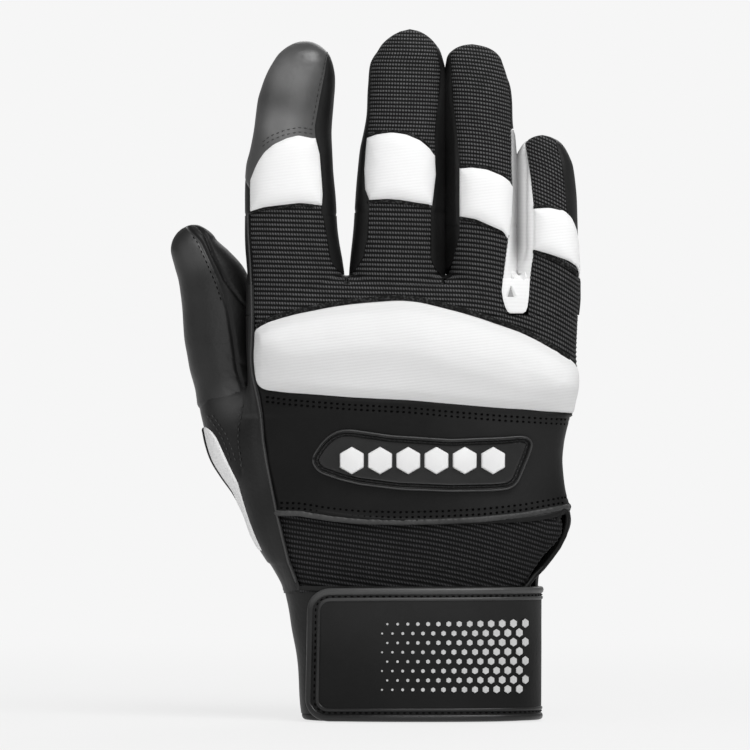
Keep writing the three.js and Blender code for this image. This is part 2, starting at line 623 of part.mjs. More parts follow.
// Palm leather: what is left of the shell, with the side strips that wrap forwards
const palm = handShell
  .subtract(dorsal(knuckleOutline(-halfGap)))
  .subtract(dorsal(crescentOutline(-halfGap)))
  .subtract(dorsal(bandPanelOutline(-halfGap)))
  .subtract(dorsal(wristOutline(-halfGap)))
  .subtract(prism(wallBaseOutline(-halfGap), frontReach, WALL_BACK_Y - halfGap))
  .subtract(prism(gussetOutline(-halfGap), frontReach, GUSSET_BACK_Y - halfGap));
keep('palm_leather', palm, blackLeather);

// Reinforcement sewn on the palm
const patchOutline = PALM_PATCH_SHARES.map(([u, v]) => [handX(u), handZ(v)]);
const patchLayer = handLoft(SEAM_GAP + PALM_PATCH_THICKNESS).subtract(handLoft(SEAM_GAP));
const patchSolid = patchLayer.intersect(prism(patchOutline, 0, HAND_DEPTH)).subtract(rootLoft(SEAM_GAP));
keep('palm_patch', patchSolid, glossLeather);

// Binding round the wrist slit
const slitTop = bandBottom(handX(SLIT_TOP_SHARE));
const slitFoot = CUFF_HEIGHT + BINDING_RADIUS * 2;
const slitPoints = Array.from({ length: SLIT_STRETCHES + 1 }, (_, i) => {
  const z = slitFoot + (slitTop - BINDING_RADIUS * 2 - slitFoot) * i / SLIT_STRETCHES;
  const x = slitEdge(z);
  const { left, right, front, back } = handSection(BINDING_RADIUS + SEAM_GAP)(z);
  const across = THREE.MathUtils.clamp((2 * x - left - right) / (right - left), -1, 1);
  const deep = (1 - Math.abs(across) ** (2 / HAND_ROUND_SHARE)) ** (HAND_ROUND_SHARE * HALF);
  return new THREE.Vector3(x, (front + back) * HALF - deep * (back - front) * HALF, z);
});
const bindingShape = new THREE.Shape();
bindingShape.absarc(0, 0, BINDING_RADIUS, 0, Math.PI * 2);
const bindingTube = new THREE.ExtrudeGeometry(bindingShape, {
  steps: BINDING_STEPS,
  curveSegments: BINDING_HALF_SIDES,
  extrudePath: new THREE.CatmullRomCurve3(slitPoints),
});
const bindingRoom = handLoft(SEAM_GAP);
keep('slit_binding', solidOf(bindingTube).subtract(bindingRoom), blackLeather);

// Cuff: band, lining, hem and tag
const hemTop = CUFF_HEM_HEIGHT;
const bandFoot = hemTop + SEAM_GAP;
const liningOuter = -CUFF_WALL - SEAM_GAP;
const liningInner = liningOuter - CUFF_LINING_THICKNESS;
const tagOuter = liningInner - SEAM_GAP;
keep('cuff_band', cuffLayer(-CUFF_WALL, 0, bandFoot, CUFF_HEIGHT), blackWeb);
keep('cuff_hem', cuffLayer(liningInner, 0, 0, hemTop), blackLeather);
keep('cuff_lining', cuffLayer(liningInner, liningOuter, bandFoot, CUFF_HEIGHT), blackKnit);
const cuffMiddle = handX((CUFF_SHARES[0][1] + CUFF_SHARES[0][2]) * HALF);
const tagOutline = box(cuffMiddle - TAG_WIDTH * HALF, TAG_WIDTH, CUFF_HEIGHT * HALF, TAG_HEIGHT);
const tagLayer = cuffLayer(tagOuter - TAG_THICKNESS, tagOuter, bandFoot, CUFF_HEIGHT);
keep('size_tag', tagLayer.intersect(prism(tagOutline, 0, CUFF_DEPTH)), whiteWall);

// Closure strap with its fastener patches
const loopOuter = SEAM_GAP + PATCH_THICKNESS;
const hookInner = loopOuter + SEAM_GAP;
const hookOuter = hookInner + PATCH_THICKNESS;
const strapInner = hookOuter + SEAM_GAP;
const strapOuter = strapInner + STRAP_THICKNESS;
const filmInner = strapOuter + SEAM_GAP;
const strapTop = CUFF_HEIGHT - STRAP_BOTTOM;
const strapHeight = strapTop - STRAP_BOTTOM;
const strapMiddle = (STRAP_BOTTOM + strapTop) * HALF;

// Outline of the strap tab, rounded at its free end
const tabLeft = handX(CUFF_SHARES[0][1]) + STRAP_TAB_INSET;
function strapOutline(inset) {
  const left = tabLeft + inset;
  const bottom = STRAP_BOTTOM + inset;
  const top = strapTop - inset;
  const radius = Math.max(STRAP_CORNER - inset, inset);
  const corner = (x, z, start) => Array.from({ length: CORNER_STEPS + 1 }, (_, i) => {
    const angle = start + TURN * i / CORNER_STEPS;
    return [x + Math.cos(angle) * radius, z + Math.sin(angle) * radius];
  });
  return [
    [pastRight, bottom], [pastRight, top], ...corner(left + radius, top - radius, TURN),
    ...corner(left + radius, bottom + radius, TURN * 2),
  ];
}

const strapLayer = (inner, outer) => cuffLayer(inner, outer, STRAP_BOTTOM, strapTop);
const strapPrism = prism(strapOutline(0), frontReach, STRAP_SPLIT_Y - SEAM_GAP);
const strapField = prism(strapOutline(STRAP_EDGE_WIDTH + SEAM_GAP), frontReach, STRAP_CORNER);
const strapFrame = strapPrism.subtract(prism(strapOutline(STRAP_EDGE_WIDTH), frontReach * 2, STRAP_CORNER));
const strapBody = strapLayer(strapInner, strapOuter).intersect(strapPrism);
keep('closure_strap', strapBody.intersect(strapField), blackLeather);
const raisedStrap = strapLayer(strapInner, strapOuter + STRAP_EDGE_RAISE);
keep('strap_binding', raisedStrap.intersect(strapFrame), blackWeb);

const patchOn = (left, width, height) =>
  prism(box(left, width, strapMiddle - height * HALF, height), frontReach, 0);
const hookPatch = patchOn(tabLeft + STRAP_EDGE_WIDTH, HOOK_PATCH_WIDTH, HOOK_PATCH_HEIGHT);
keep('strap_hook_patch', strapLayer(hookInner, hookOuter).intersect(hookPatch), blackWeb);
const loopPatch = patchOn(cuffMiddle - LOOP_PATCH_WIDTH * HALF, LOOP_PATCH_WIDTH, LOOP_PATCH_HEIGHT);
keep('cuff_loop_patch', strapLayer(SEAM_GAP, loopOuter).intersect(loopPatch), blackWeb);
const transfer = patchOn(tabLeft + TRANSFER_INSET, TRANSFER_WIDTH, TRANSFER_HEIGHT);
const filmLayer = strapLayer(filmInner, filmInner + TRANSFER_THICKNESS);
keep('strap_transfer', filmLayer.intersect(transfer), silverFilm);
const anchor = prism(
  box(handX(HALF), pastRight, STRAP_BOTTOM, strapHeight),
  STRAP_SPLIT_Y,
  STRAP_SPLIT_Y + STRAP_ANCHOR_LENGTH,
);
keep('strap_anchor', strapLayer(SEAM_GAP, strapOuter).intersect(anchor), blackLeather);

// Fingers
function parabola(three, left, right) {
  const [start, middle, end] = three;
  return (x) => {
    const share = (x - left) / (right - left);
    const rest = 1 - share;
    return start * rest * (rest - share) + middle * 4 * share * rest + end * share * (share - rest);
  };
}

function crownedFinger(finger, crown, grow, low, high) {
  const plain = fingerSection(finger, grow);
  const section = (z) => {
    const share = THREE.MathUtils.clamp((z - low) / (high - low), 0, 1);
    const edges = plain(z);
    return { ...edges, front: edges.front - crown * Math.sin(Math.PI * share) ** HALF };
  };
  return loft(section, low - WALL, high + WALL, PAD_STATIONS, ROUND_POINTS, FINGER_ROUND_SHARE);
}

function makeFinger(name, finger) {
  const low = finger.knuckleHinge - WALL;
  const outer = fingerLoft(finger, 0, low);
  const inner = fingerLoft(finger, -WALL, low - OVERRUN);
  const shell = outer.subtract(inner);
  const hinge = fingerZ(finger, finger.middleHingeShare);
  const start = finger.knuckleHinge + SEAM_GAP * HALF;
  const tip = finger.base + finger.length + OVERRUN;
  const lowerShell = shell.intersect(slab(start, hinge + halfGap));
  const upperShell = shell.intersect(slab(hinge - halfGap, tip));

  const seam = (side, share) => {
    const [atRoot, atTip] = finger.seamShares[side];
    return finger.middle + (atRoot + (atTip - atRoot) * share) * finger.width;
  };
  const edge = (side, grow) => (z) => seam(side, (z - finger.base) / finger.length) + grow;
  const left = seam('left', finger.middleHingeShare);
  const right = seam('right', finger.middleHingeShare);
  const curveOf = (three) => {
    const shares = parabola(three, left, right);
    return (x) => fingerZ(finger, shares(x));
  };
  const padBottom = curveOf(finger.padShares.bottom);
  const padTop = curveOf(finger.padShares.top);

  const panel = (lower, upper, grow) => {
    const lowLeft = edge('left', -grow)(lower(left));
    const lowRight = edge('right', grow)(lower(right));
    const topLeft = edge('left', -grow)(upper(left));
    const topRight = edge('right', grow)(upper(right));
    return prism([
      ...curvePoints(lower, lowLeft, lowRight, FINGER_PANEL_STEPS, -grow),
      ...curvePoints(upper, topLeft, topRight, FINGER_PANEL_STEPS, grow).reverse(),
    ], frontReach, 0);
  };
  const startCurve = () => start - OVERRUN;
  const tipCurve = () => tip;
  const dorsalCut = panel(startCurve, tipCurve, -halfGap);

  keep(`${name}_lower_knit`, lowerShell.intersect(panel(startCurve, padBottom, halfGap)), blackKnit);
  const upperPanel = upperShell.intersect(panel(padTop, tipCurve, halfGap));
  if (name === 'index') keep('index_leather_tip', upperPanel, glossLeather);
  else keep(`${name}_upper_knit`, upperPanel, blackKnit);

  const padLow = padBottom((left + right) * HALF);
  const padHigh = padTop((left + right) * HALF);
  const padPrism = panel(padBottom, padTop, halfGap);
  const crowned = (crown, grow) => crownedFinger(finger, crown, grow, padLow, padHigh);
  const under = crowned(PAD_CROWN - PAD_SKIN, 0);
  const cover = crowned(PAD_CROWN, 0).subtract(under).subtract(inner);
  keep(`${name}_pad_cover`, cover.intersect(padPrism), whiteKnit);
  const foamShape = crowned(PAD_CROWN - PAD_SKIN - SEAM_GAP, -SEAM_GAP).subtract(inner);
  const foamPanel = panel(padBottom, padTop, -WALL);
  keep(`${name}_pad_foam`, foamShape.intersect(foamPanel), foam);

  let lowerSkin = lowerShell.subtract(dorsalCut);
  let upperSkin = upperShell.subtract(dorsalCut);
  if (name in WALL_TOP_SHARES) {
    const outward = Math.sign(WALL_FRONT_SHARES[name]) * OVERRUN;
    const wallTop = fingerZ(finger, WALL_TOP_SHARES[name]);
    const wallPrism = (grow) => {
      const top = wallTop + grow;
      const corners = [[0, 0], [outward, 0], [outward, top], [0, top]];
      const outline = corners.map(([x, z]) => [finger.middle + x, z]);
      return prism(outline, frontReach, WALL_BACK_Y + grow);
    };
    keep(`${name}_fourchette_lower`, lowerSkin.intersect(wallPrism(halfGap)), whiteWall);
    keep(`${name}_fourchette_upper`, upperSkin.intersect(wallPrism(halfGap)), whiteWall);
    lowerSkin = lowerSkin.subtract(wallPrism(-halfGap));
    upperSkin = upperSkin.subtract(wallPrism(-halfGap));
  }
  keep(`${name}_lower_palm_skin`, lowerSkin, blackLeather);
  keep(`${name}_upper_palm_skin`, upperSkin, blackLeather);
}

for (const [name, finger] of Object.entries(FINGERS)) makeFinger(name, finger);

// Thumb: back and front leather on each side of one seam, cut at its middle hinge
const thumbOuter = fingerLoft(THUMB, 0, THUMB.knuckleHinge - WALL);
const thumbInner = fingerLoft(THUMB, -WALL, THUMB.knuckleHinge - OVERRUN);
const thumbShell = thumbOuter.subtract(thumbInner);
const thumbHinge = fingerZ(THUMB, THUMB.middleHingeShare);
const thumbTip = THUMB.base + THUMB.length + OVERRUN;
const thumbParts = {
  lower: thumbShell.intersect(slab(THUMB.knuckleHinge + SEAM_GAP * HALF, thumbHinge + halfGap)),
  upper: thumbShell.intersect(slab(thumbHinge - halfGap, thumbTip)),
};
const thumbSeam = (grow) => {
  const edge = THUMB.seamShares.map(([along, across]) =>
    [THUMB.middle + across * THUMB.width + grow, fingerZ(THUMB, along)]);
  const top = edge[edge.length - 1];
  return prism([
    [edge[0][0] - OVERRUN * 2, edge[0][1]], ...edge, [top[0], thumbTip], [top[0] - OVERRUN, thumbTip],
  ], frontReach, THUMB.centreY);
};
for (const [place, shell] of Object.entries(thumbParts)) {
  keep(`thumb_${place}_back`, shell.intersect(thumbSeam(halfGap)), blackLeather);
  keep(`thumb_${place}_front`, shell.subtract(thumbSeam(-halfGap)), glossLeather);
}

pieces.forEach((piece) => root.add(piece));

export default root;
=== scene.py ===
import math

import bmesh
import bpy
import numpy as np
from mathutils import Matrix, Vector


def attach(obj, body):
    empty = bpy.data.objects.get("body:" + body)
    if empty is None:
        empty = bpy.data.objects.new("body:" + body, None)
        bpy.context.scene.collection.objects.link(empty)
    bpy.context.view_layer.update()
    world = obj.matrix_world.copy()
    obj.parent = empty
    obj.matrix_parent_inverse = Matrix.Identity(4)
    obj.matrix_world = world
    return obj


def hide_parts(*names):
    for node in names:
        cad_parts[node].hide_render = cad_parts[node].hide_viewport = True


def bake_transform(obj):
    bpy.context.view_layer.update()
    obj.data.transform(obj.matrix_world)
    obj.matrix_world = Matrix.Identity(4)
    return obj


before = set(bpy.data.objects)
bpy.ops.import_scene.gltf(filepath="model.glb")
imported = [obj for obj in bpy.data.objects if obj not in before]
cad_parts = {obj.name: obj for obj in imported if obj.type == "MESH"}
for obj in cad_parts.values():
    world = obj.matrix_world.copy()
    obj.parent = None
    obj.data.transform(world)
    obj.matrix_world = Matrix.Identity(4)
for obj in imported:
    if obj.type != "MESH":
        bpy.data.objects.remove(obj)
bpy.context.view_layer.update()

# Sizes of the glove in millimetres, as in its solid model
MM = 0.001
HAND_LEFT = -42.3
HAND_WIDTH = 110.3
HAND_DEPTH = 30.0
BACK_HEIGHT = 104.0
CUFF_HEIGHT = 44.0
CUFF_DEPTH = 36.0
CUFF_SQUARE = 2.5
HAND_SQUARE = 2.7
FINGER_SQUARE = 2.3
TIP_ROUND = 0.93
BACK_SEAM_Y = 2.0
WALL_Y = 4.0
ROLL = 20.0
STRAP_LIFT = 4.2
STRAP_LEFT = -20.8
STRAP_LOW = 0.6
STRAP_HIGH = 44.6
STRAP_ROUND = 7.0
LOW_RIB = 1.53
TIP_RIB = 1.27
WRIST_RIB = 1.6

# Step between the rows of knit, the reach past a hinge given with pieces between two bodies, and how padding is filled
# as cloth
KNIT_STEP = 0.375
KNUCKLE_REACH = 7.5
JOINT_REACH = 7.0
FILLING_SCALE = 20
FILLING_FRAMES = 20
FILLING_PRESSURE = 4

# The picture's scale, and where the middle and the floor of the glove lie in it
PIXEL = 3.0
PIXEL_MIDDLE = 375
PIXEL_FLOOR = 720

# Fingers: place across, foot, length, width and depth, heights of the two hinges, the planes that part them, and
# how far their side walls lean to a neighbour between two heights. Each row is the place along the finger, its
# left and right edges as shares of the width, and its depth as a share of the depth.
FINGERS = {
    "index": dict(
        middle=-27.0, foot=148.0, length=78.3, width=30.0, depth=21.5, hinges=(152.7, 183.0), planes=(-60, -9.2),
        lean=(1, 0.0, 150, 200), rows=[
            (-0.6, -0.36, 0.38, 0.7), (-0.25, -0.49, 0.5, 1), (0, -0.52, 0.56, 1), (0.05, -0.53, 0.545, 1),
            (0.15, -0.545, 0.5, 1), (0.37, -0.545, 0.455, 0.98), (0.47, -0.53, 0.435, 0.97),
            (0.54, -0.485, 0.425, 0.96), (0.62, -0.445, 0.42, 0.94), (0.75, -0.4, 0.445, 0.9),
            (0.8, -0.362, 0.457, 0.875), (0.845, -0.32, 0.458, 0.835), (0.88, -0.277, 0.445, 0.79),
            (0.92, -0.215, 0.415, 0.71), (0.96, -0.14, 0.36, 0.56), (0.985, -0.05, 0.27, 0.38), (1, 0.06, 0.2, 0.16)]),
    "middle": dict(
        middle=8.0, foot=148.0, length=82.3, width=30.0, depth=22.0, hinges=(154.0, 184.0), planes=(-9.2, 22.8),
        lean=(1, 1.6, 145, 222), rows=[
            (-0.25, -0.53, 0.49, 1), (0, -0.555, 0.49, 1), (0.06, -0.545, 0.485, 1), (0.17, -0.51, 0.48, 1),
            (0.29, -0.49, 0.475, 0.99), (0.41, -0.465, 0.475, 0.98), (0.51, -0.435, 0.475, 0.96),
            (0.59, -0.39, 0.48, 0.95), (0.65, -0.365, 0.485, 0.93), (0.77, -0.345, 0.49, 0.89),
            (0.86, -0.32, 0.49, 0.82), (0.91, -0.24, 0.46, 0.73), (0.95, -0.165, 0.38, 0.6),
            (0.98, -0.06, 0.27, 0.42), (1, 0.03, 0.17, 0.16)]),
    "ring": dict(
        middle=35.7, foot=148.0, length=77.3, width=24.6, depth=21.0, hinges=(153.3, 175.0), planes=(22.8, 46.4),
        lean=(-1, 1.6, 145, 220), rows=[
            (-0.25, -0.46, 0.47, 1), (0, -0.46, 0.465, 1), (0.1, -0.46, 0.465, 1), (0.3, -0.46, 0.465, 0.99),
            (0.5, -0.46, 0.465, 0.97), (0.59, -0.465, 0.45, 0.95), (0.66, -0.475, 0.42, 0.94),
            (0.8, -0.48, 0.39, 0.89), (0.87, -0.49, 0.335, 0.82), (0.92, -0.49, 0.28, 0.73),
            (0.95, -0.46, 0.24, 0.62), (0.98, -0.38, 0.13, 0.43), (1, -0.26, -0.05, 0.16)]),
    "pinky": dict(
        middle=58.1, foot=143.0, length=52.0, width=19.8, depth=18.5, hinges=(142.7, 162.7), planes=(49.2, 80),
        lean=(-1, 1.0, 146, 192), rows=[
            (-0.8, -0.3, 0.24, 0.7), (-0.4, -0.475, 0.37, 1), (-0.2, -0.48, 0.4, 1), (-0.1, -0.49, 0.44, 1),
            (0, -0.51, 0.48, 1), (0.13, -0.53, 0.51, 1), (0.26, -0.54, 0.5, 1), (0.52, -0.545, 0.467, 0.97),
            (0.65, -0.55, 0.45, 0.94), (0.8, -0.55, 0.4, 0.86), (0.87, -0.53, 0.33, 0.77), (0.93, -0.46, 0.24, 0.64),
            (0.97, -0.37, 0.14, 0.46), (1, -0.24, -0.05, 0.16)]),
}
THUMB = dict(middle=-51.7, foot=110.3, length=55.0, width=25.0, depth=21.0, centre=13.2, hinges=(112.0, 138.9), rows=[
    (-0.3, -0.2, 0.62, 1), (-0.15, -0.29, 0.6, 1), (0, -0.333, 0.58, 1), (0.115, -0.4, 0.55, 1),
    (0.206, -0.44, 0.525, 0.99), (0.297, -0.48, 0.505, 0.98), (0.388, -0.5, 0.49, 0.97),
    (0.479, -0.513, 0.475, 0.96), (0.57, -0.533, 0.445, 0.94), (0.66, -0.56, 0.385, 0.9),
    (0.752, -0.613, 0.28, 0.84), (0.842, -0.66, 0.1, 0.73), (0.903, -0.64, -0.05, 0.6),
    (0.95, -0.573, -0.133, 0.44), (1, -0.44, -0.333, 0.16)])

# Hand, thumb root and cuff: height share, left and right edges as shares of the hand's width, and for the hand
# and the root also front and back as shares of half its depth
HAND_ROWS = [
    (-0.05, 0.11, 0.868, -1.1, 1.1), (0, 0.106, 0.876, -1.1, 1.1), (0.05, 0.082, 0.885, -1.08, 1.1),
    (0.12, 0.04, 0.935, -1.04, 1.1), (0.17, 0.015, 0.965, -1.02, 1.1), (0.22, 0.006, 0.977, -1, 1.1),
    (0.31, 0.003, 0.957, -0.98, 1.08), (0.4, 0.003, 0.946, -0.98, 1.06), (0.46, 0.003, 0.95, -0.99, 1.05),
    (0.5, 0.004, 0.957, -0.995, 1.045), (0.55, 0.006, 0.969, -1, 1.04), (0.65, 0.006, 0.991, -1, 1.02),
    (0.75, 0.006, 0.985, -0.99, 0.99), (0.84, 0.006, 0.992, -0.94, 0.94), (0.92, 0.004, 1, -0.84, 0.84),
    (0.96, 0.002, 1, -0.72, 0.74), (0.985, 0, 1, -0.58, 0.64), (1, 0, 1, -0.4, 0.5)]
ROOT_ROWS = [
    (0.08, 0.096, 0.3, -0.5, 1), (0.12, 0.07, 0.3, -0.5, 1.12), (0.17, 0.042, 0.29, -0.48, 1.25),
    (0.22, 0.01, 0.28, -0.45, 1.35), (0.27, -0.026, 0.26, -0.4, 1.45), (0.31, -0.047, 0.24, -0.35, 1.5),
    (0.36, -0.08, 0.22, -0.28, 1.54), (0.41, -0.108, 0.2, -0.2, 1.56), (0.46, -0.124, 0.17, -0.12, 1.57),
    (0.51, -0.134, 0.14, -0.04, 1.57), (0.56, -0.146, 0.1, 0.04, 1.57), (0.61, -0.155, 0.065, 0.12, 1.57),
    (0.64, -0.16, 0.046, 0.17, 1.57), (0.7, -0.168, 0.03, 0.17, 1.55)]
CUFF_ROWS = [(0, 0.165, 0.852), (0.15, 0.157, 0.854), (0.5, 0.145, 0.855), (0.7, 0.132, 0.855),
             (0.85, 0.122, 0.855), (1, 0.108, 0.855)]

# Seams in the plane of the back of the hand: across and down in picture pixels
CRESCENT_TOP = [
    (240, 352), (254, 345), (256.2, 336), (257.5, 331), (259, 328), (262, 325), (268, 322.3), (275, 319.8), (288, 316),
    (300, 313), (310, 311), (330, 307), (350, 304), (370, 302), (400, 300), (420, 302), (440, 307), (460, 312),
    (480, 318), (500, 325), (520, 332), (540, 342), (555, 351), (565, 358), (572, 366), (577, 377), (590, 388)]
CRESCENT_BOTTOM = [
    (240, 362), (254, 368), (256.2, 376), (257.5, 381), (259, 385), (262, 388.3), (268, 390.5), (288, 393), (300, 394),
    (350, 398), (410, 401), (440, 404), (500, 409), (567, 413), (590, 415)]
BAND_BOTTOM = [(255, 512), (280, 515), (300, 515), (330, 520), (360, 523), (400, 524), (440, 523), (480, 521),
               (520, 517), (555, 511), (590, 506)]
LEFT_SEAM = [
    (253.5, 284), (254, 300), (254.4, 320), (254, 340), (253.4, 352), (253.4, 362), (254.6, 374), (256.8, 384),
    (260, 398), (263, 415), (265, 440), (268, 460), (272, 480), (276, 500), (279, 515), (285, 540), (290, 560),
    (297, 578), (302, 592)]
SLIT_EDGE = [(522, 592), (528, 585), (536, 576), (545, 567), (553, 557), (561, 546), (567, 535), (569, 524),
             (567, 514), (560, 505)]
SLIT_LINE = [(520, 592), (526, 585), (533, 576), (542, 567), (550, 557), (558, 546), (563.5, 535), (566.5, 524),
             (567, 516), (565, 511), (562, 509.5), (559.5, 511), (558.5, 515), (558, 521), (556, 530)]
STRIP_SEAM = [(241, 385), (241.5, 402), (239.5, 412), (237, 425), (236, 438), (237.5, 452), (240, 470), (244, 490)]
GUSSET_EDGE = [(204, 426.5), (208.5, 429), (212, 432), (216.5, 438), (220.5, 446), (224.5, 455), (228.5, 464),
               (233, 473), (238, 483), (240.5, 492), (245, 507), (250, 522), (256, 537), (262, 550)]
GUSSET_STITCHES = [(207, 414), (215, 425), (222, 435), (228, 449), (232, 462)]
THUMB_SEAM = [(186, 224), (190, 230), (200, 241), (210, 262), (220, 285), (228, 310), (233, 340), (237, 370),
              (244, 392), (247, 415)]
THUMB_FOLD = [(196, 224), (205, 235), (213, 256), (225, 280), (240, 300), (250, 313), (256, 322), (258, 380)]
BADGE_TOP = [(314, 458), (317, 452), (321, 446), (326, 440), (332, 435), (338, 432), (345, 430.5), (352, 430.5),
             (390, 436), (450, 440), (500, 438), (518, 436.5), (524, 437), (528, 439.5), (529.5, 444)]
BADGE_FOOT = [(314, 458), (314.5, 462), (317, 467), (322, 471.5), (340, 478), (360, 483), (400, 488), (450, 490),
              (490, 489.5), (506, 488), (512, 485), (516, 480), (521, 468), (526, 455), (529.5, 444)]
KNIT_EDGES = {
    "index": (
        [(277, 60), (266, 85), (259, 110), (256, 130), (252, 155), (250, 178), (250, 211), (250.5, 235), (252.5, 262),
         (253.5, 284), (254, 300)],
        [(326, 45), (328, 55), (325, 75), (320, 100), (315, 128), (316, 139), (320, 155), (322, 180), (323, 195),
         (322, 210), (326, 230), (330, 255), (333, 265), (340, 272), (347, 277), (348, 300)]),
    "middle": (
        [(384, 40), (375, 55), (370, 70), (369, 100), (368, 125), (366, 143), (364, 170), (365, 190), (369, 200),
         (369, 210), (367, 240), (363, 258), (356, 269), (348, 277), (348, 300)],
        [(437, 50), (441, 70), (439, 100), (436, 125), (435, 155), (436, 175), (433, 200), (431, 215), (431, 240),
         (431, 260), (436, 270), (443, 277), (443, 300)]),
    "ring": (
        [(450, 55), (452, 100), (457, 140), (459, 165), (459, 217), (459, 235), (455, 250), (450, 268), (443, 277),
         (443, 300)],
        [(501, 55), (508, 75), (511, 100), (512, 140), (512, 165), (513, 190), (512, 215), (509, 236), (507, 250),
         (505, 265), (503, 280), (502, 292), (503, 305)]),
    "pinky": (
        [(524, 140), (527, 160), (530, 180), (533, 210), (533, 251), (530, 270), (528, 290), (528, 320)],
        [(556, 145), (561, 160), (564, 180), (566, 205), (570, 222), (590, 235), (590, 330)]),
}
PAD_EDGES = {
    "index": ([(246, 213), (262, 208), (280, 206), (300, 204), (321, 206)],
              [(246, 182), (253, 166), (260, 153), (270, 145), (285, 139), (300, 136), (318, 139)]),
    "middle": ([(364, 201), (385, 200), (400, 201), (420, 204), (436, 206)],
               [(363, 139), (375, 135), (390, 133), (405, 135), (420, 141), (430, 149), (438, 160)]),
    "ring": ([(457, 217), (475, 220), (490, 226), (505, 232), (514, 240)],
             [(456, 169), (470, 168), (485, 170), (500, 176), (508, 181), (515, 189)]),
    "pinky": ([(530, 250), (545, 255), (560, 261), (570, 267), (582, 279)],
              [(530, 209), (545, 208), (558, 211), (566, 218), (573, 229), (580, 243)]),
}


def across(px):
    """Millimetres across from picture pixels."""
    return (np.asarray(px, float) - PIXEL_MIDDLE) / PIXEL


def up(py):
    """Millimetres up from picture pixels."""
    return (PIXEL_FLOOR - np.asarray(py, float)) / PIXEL


def soften(values, times):
    """Rounds the corners of a table of heights or places read along a seam."""
    for _ in range(times):
        ends = np.concatenate([values[:1], values, values[-1:]])
        values = ends[:-2] * 0.25 + ends[1:-1] * 0.5 + ends[2:] * 0.25
    return values


def by_x(seam, x, rounds=0):
    """Height of a seam that runs across, at the places x, with its corners rounded."""
    points = np.array(seam, float)
    return soften(np.interp(x, across(points[:, 0]), up(points[:, 1])), rounds)


def by_z(seam, z):
    """Place across of a seam that runs up, at the heights z."""
    points = np.array(seam, float)
    points = points[np.argsort(-points[:, 1])]
    return np.interp(z, up(points[:, 1]), across(points[:, 0]))


def closer(low, high, count, power):
    """Heights from low to high that lie closer together towards the top."""
    return low + (high - low) * (1 - (1 - np.linspace(0, 1, count)) ** power)


def read_rows(rows, place):
    """Smooth values from rows of (place, value, ...), one array for each value."""
    rows, place = np.array(rows, float), np.asarray(place, float)
    low = np.clip(np.searchsorted(rows[:, 0], place, side="left") - 1, 0, len(rows) - 2)
    before, after = np.maximum(low - 1, 0), np.minimum(low + 2, len(rows) - 1)
    span = rows[low + 1, 0] - rows[low, 0]
    share = np.clip((place - rows[low, 0]) / span, 0, 1)
    square, cube = share ** 2, share ** 3

    def smooth(column):
        leaving = (column[low + 1] - column[before]) / (rows[low + 1, 0] - rows[before, 0]) * span
        arriving = (column[after] - column[low]) / (rows[after, 0] - rows[low, 0]) * span
        return ((2 * cube - 3 * square + 1) * column[low] + (cube - 2 * square + share) * leaving
                + (3 * square - 2 * cube) * column[low + 1] + (cube - square) * arriving)

    return [smooth(column) for column in rows.T[1:]]


def ease(value):
    """0 to 1 with a soft start and end."""
    value = np.clip(value, 0, 1)
    return value * value * (3 - 2 * value)


def bell(value, middle, width):
    """1 at the middle, falling to nothing on both sides."""
    return np.exp(-((value - middle) / width) ** 2)


# Sections at the heights z: middle across, middle in depth, half width, half depth, squareness, where it is there
def hand_section(left, right, front, back, square, there, small=1.0):
    """A section from its edges as shares of the hand's width and of half its depth."""
    left, right = HAND_LEFT + left * HAND_WIDTH, HAND_LEFT + right * HAND_WIDTH
    front, back = front * HAND_DEPTH / 2, back * HAND_DEPTH / 2
    return ((left + right) / 2, (front + back) / 2, (right - left) / 2 * small, (back - front) / 2 * small, square,
            there)


def hand_tube(z):
    """The hand from the cuff to the feet of the fingers."""
    return hand_section(*read_rows(HAND_ROWS, (z - CUFF_HEIGHT) / BACK_HEIGHT), HAND_SQUARE, z < 147.6)


def root_tube(z):
    """The root of the thumb, rounded off at its top."""
    share = (z - CUFF_HEIGHT) / BACK_HEIGHT
    small = np.sqrt(np.clip(1 - (np.maximum(share - 0.6, 0) / 0.057) ** 2, 0.001, 1))
    there = (share > ROOT_ROWS[0][0]) & (share < 0.655)
    return hand_section(*read_rows(ROOT_ROWS, share), FINGER_SQUARE, there, small)


def cuff_tube(z):
    """The cuff that the glove stands on."""
    deep = CUFF_DEPTH / HAND_DEPTH
    return hand_section(*read_rows(CUFF_ROWS, z / CUFF_HEIGHT), -deep, deep, CUFF_SQUARE, z > -5)


def finger_tube(finger):
    """A finger or the thumb, closed by a rounded tip."""
    rows, step = finger["rows"], 0.03

    def section(z):
        along = (z - finger["foot"]) / finger["length"]
        over = np.clip((along - TIP_ROUND) / (1 - TIP_ROUND), 0, 1)
        left, right, deep = (
            value + over * (1 - TIP_ROUND) / step * (last - before) for value, last, before in zip(
                read_rows(rows, np.minimum(along, TIP_ROUND)), read_rows(rows, TIP_ROUND),
                read_rows(rows, TIP_ROUND - step)))
        small = np.maximum(1 - over ** 2, 1e-5) ** 0.45
        return (finger["middle"] + (left + right) / 2 * finger["width"], finger.get("centre", 0.0),
                (right - left) / 2 * finger["width"] * small, deep * finger["depth"] / 2 * small, FINGER_SQUARE,
                (along >= rows[0][0]) & (along <= 1.0001))

    return section


def unit(vectors):
    """The vectors, each made one long."""
    return vectors / np.maximum(np.linalg.norm(vectors, axis=-1, keepdims=True), 1e-9)


def joined(first, second, size):
    """The smaller of two distances, with a fillet of the given size between them."""
    part = np.clip(0.5 + 0.5 * (second - first) / size, 0, 1)
    return second * (1 - part) + first * part - size * part * (1 - part)


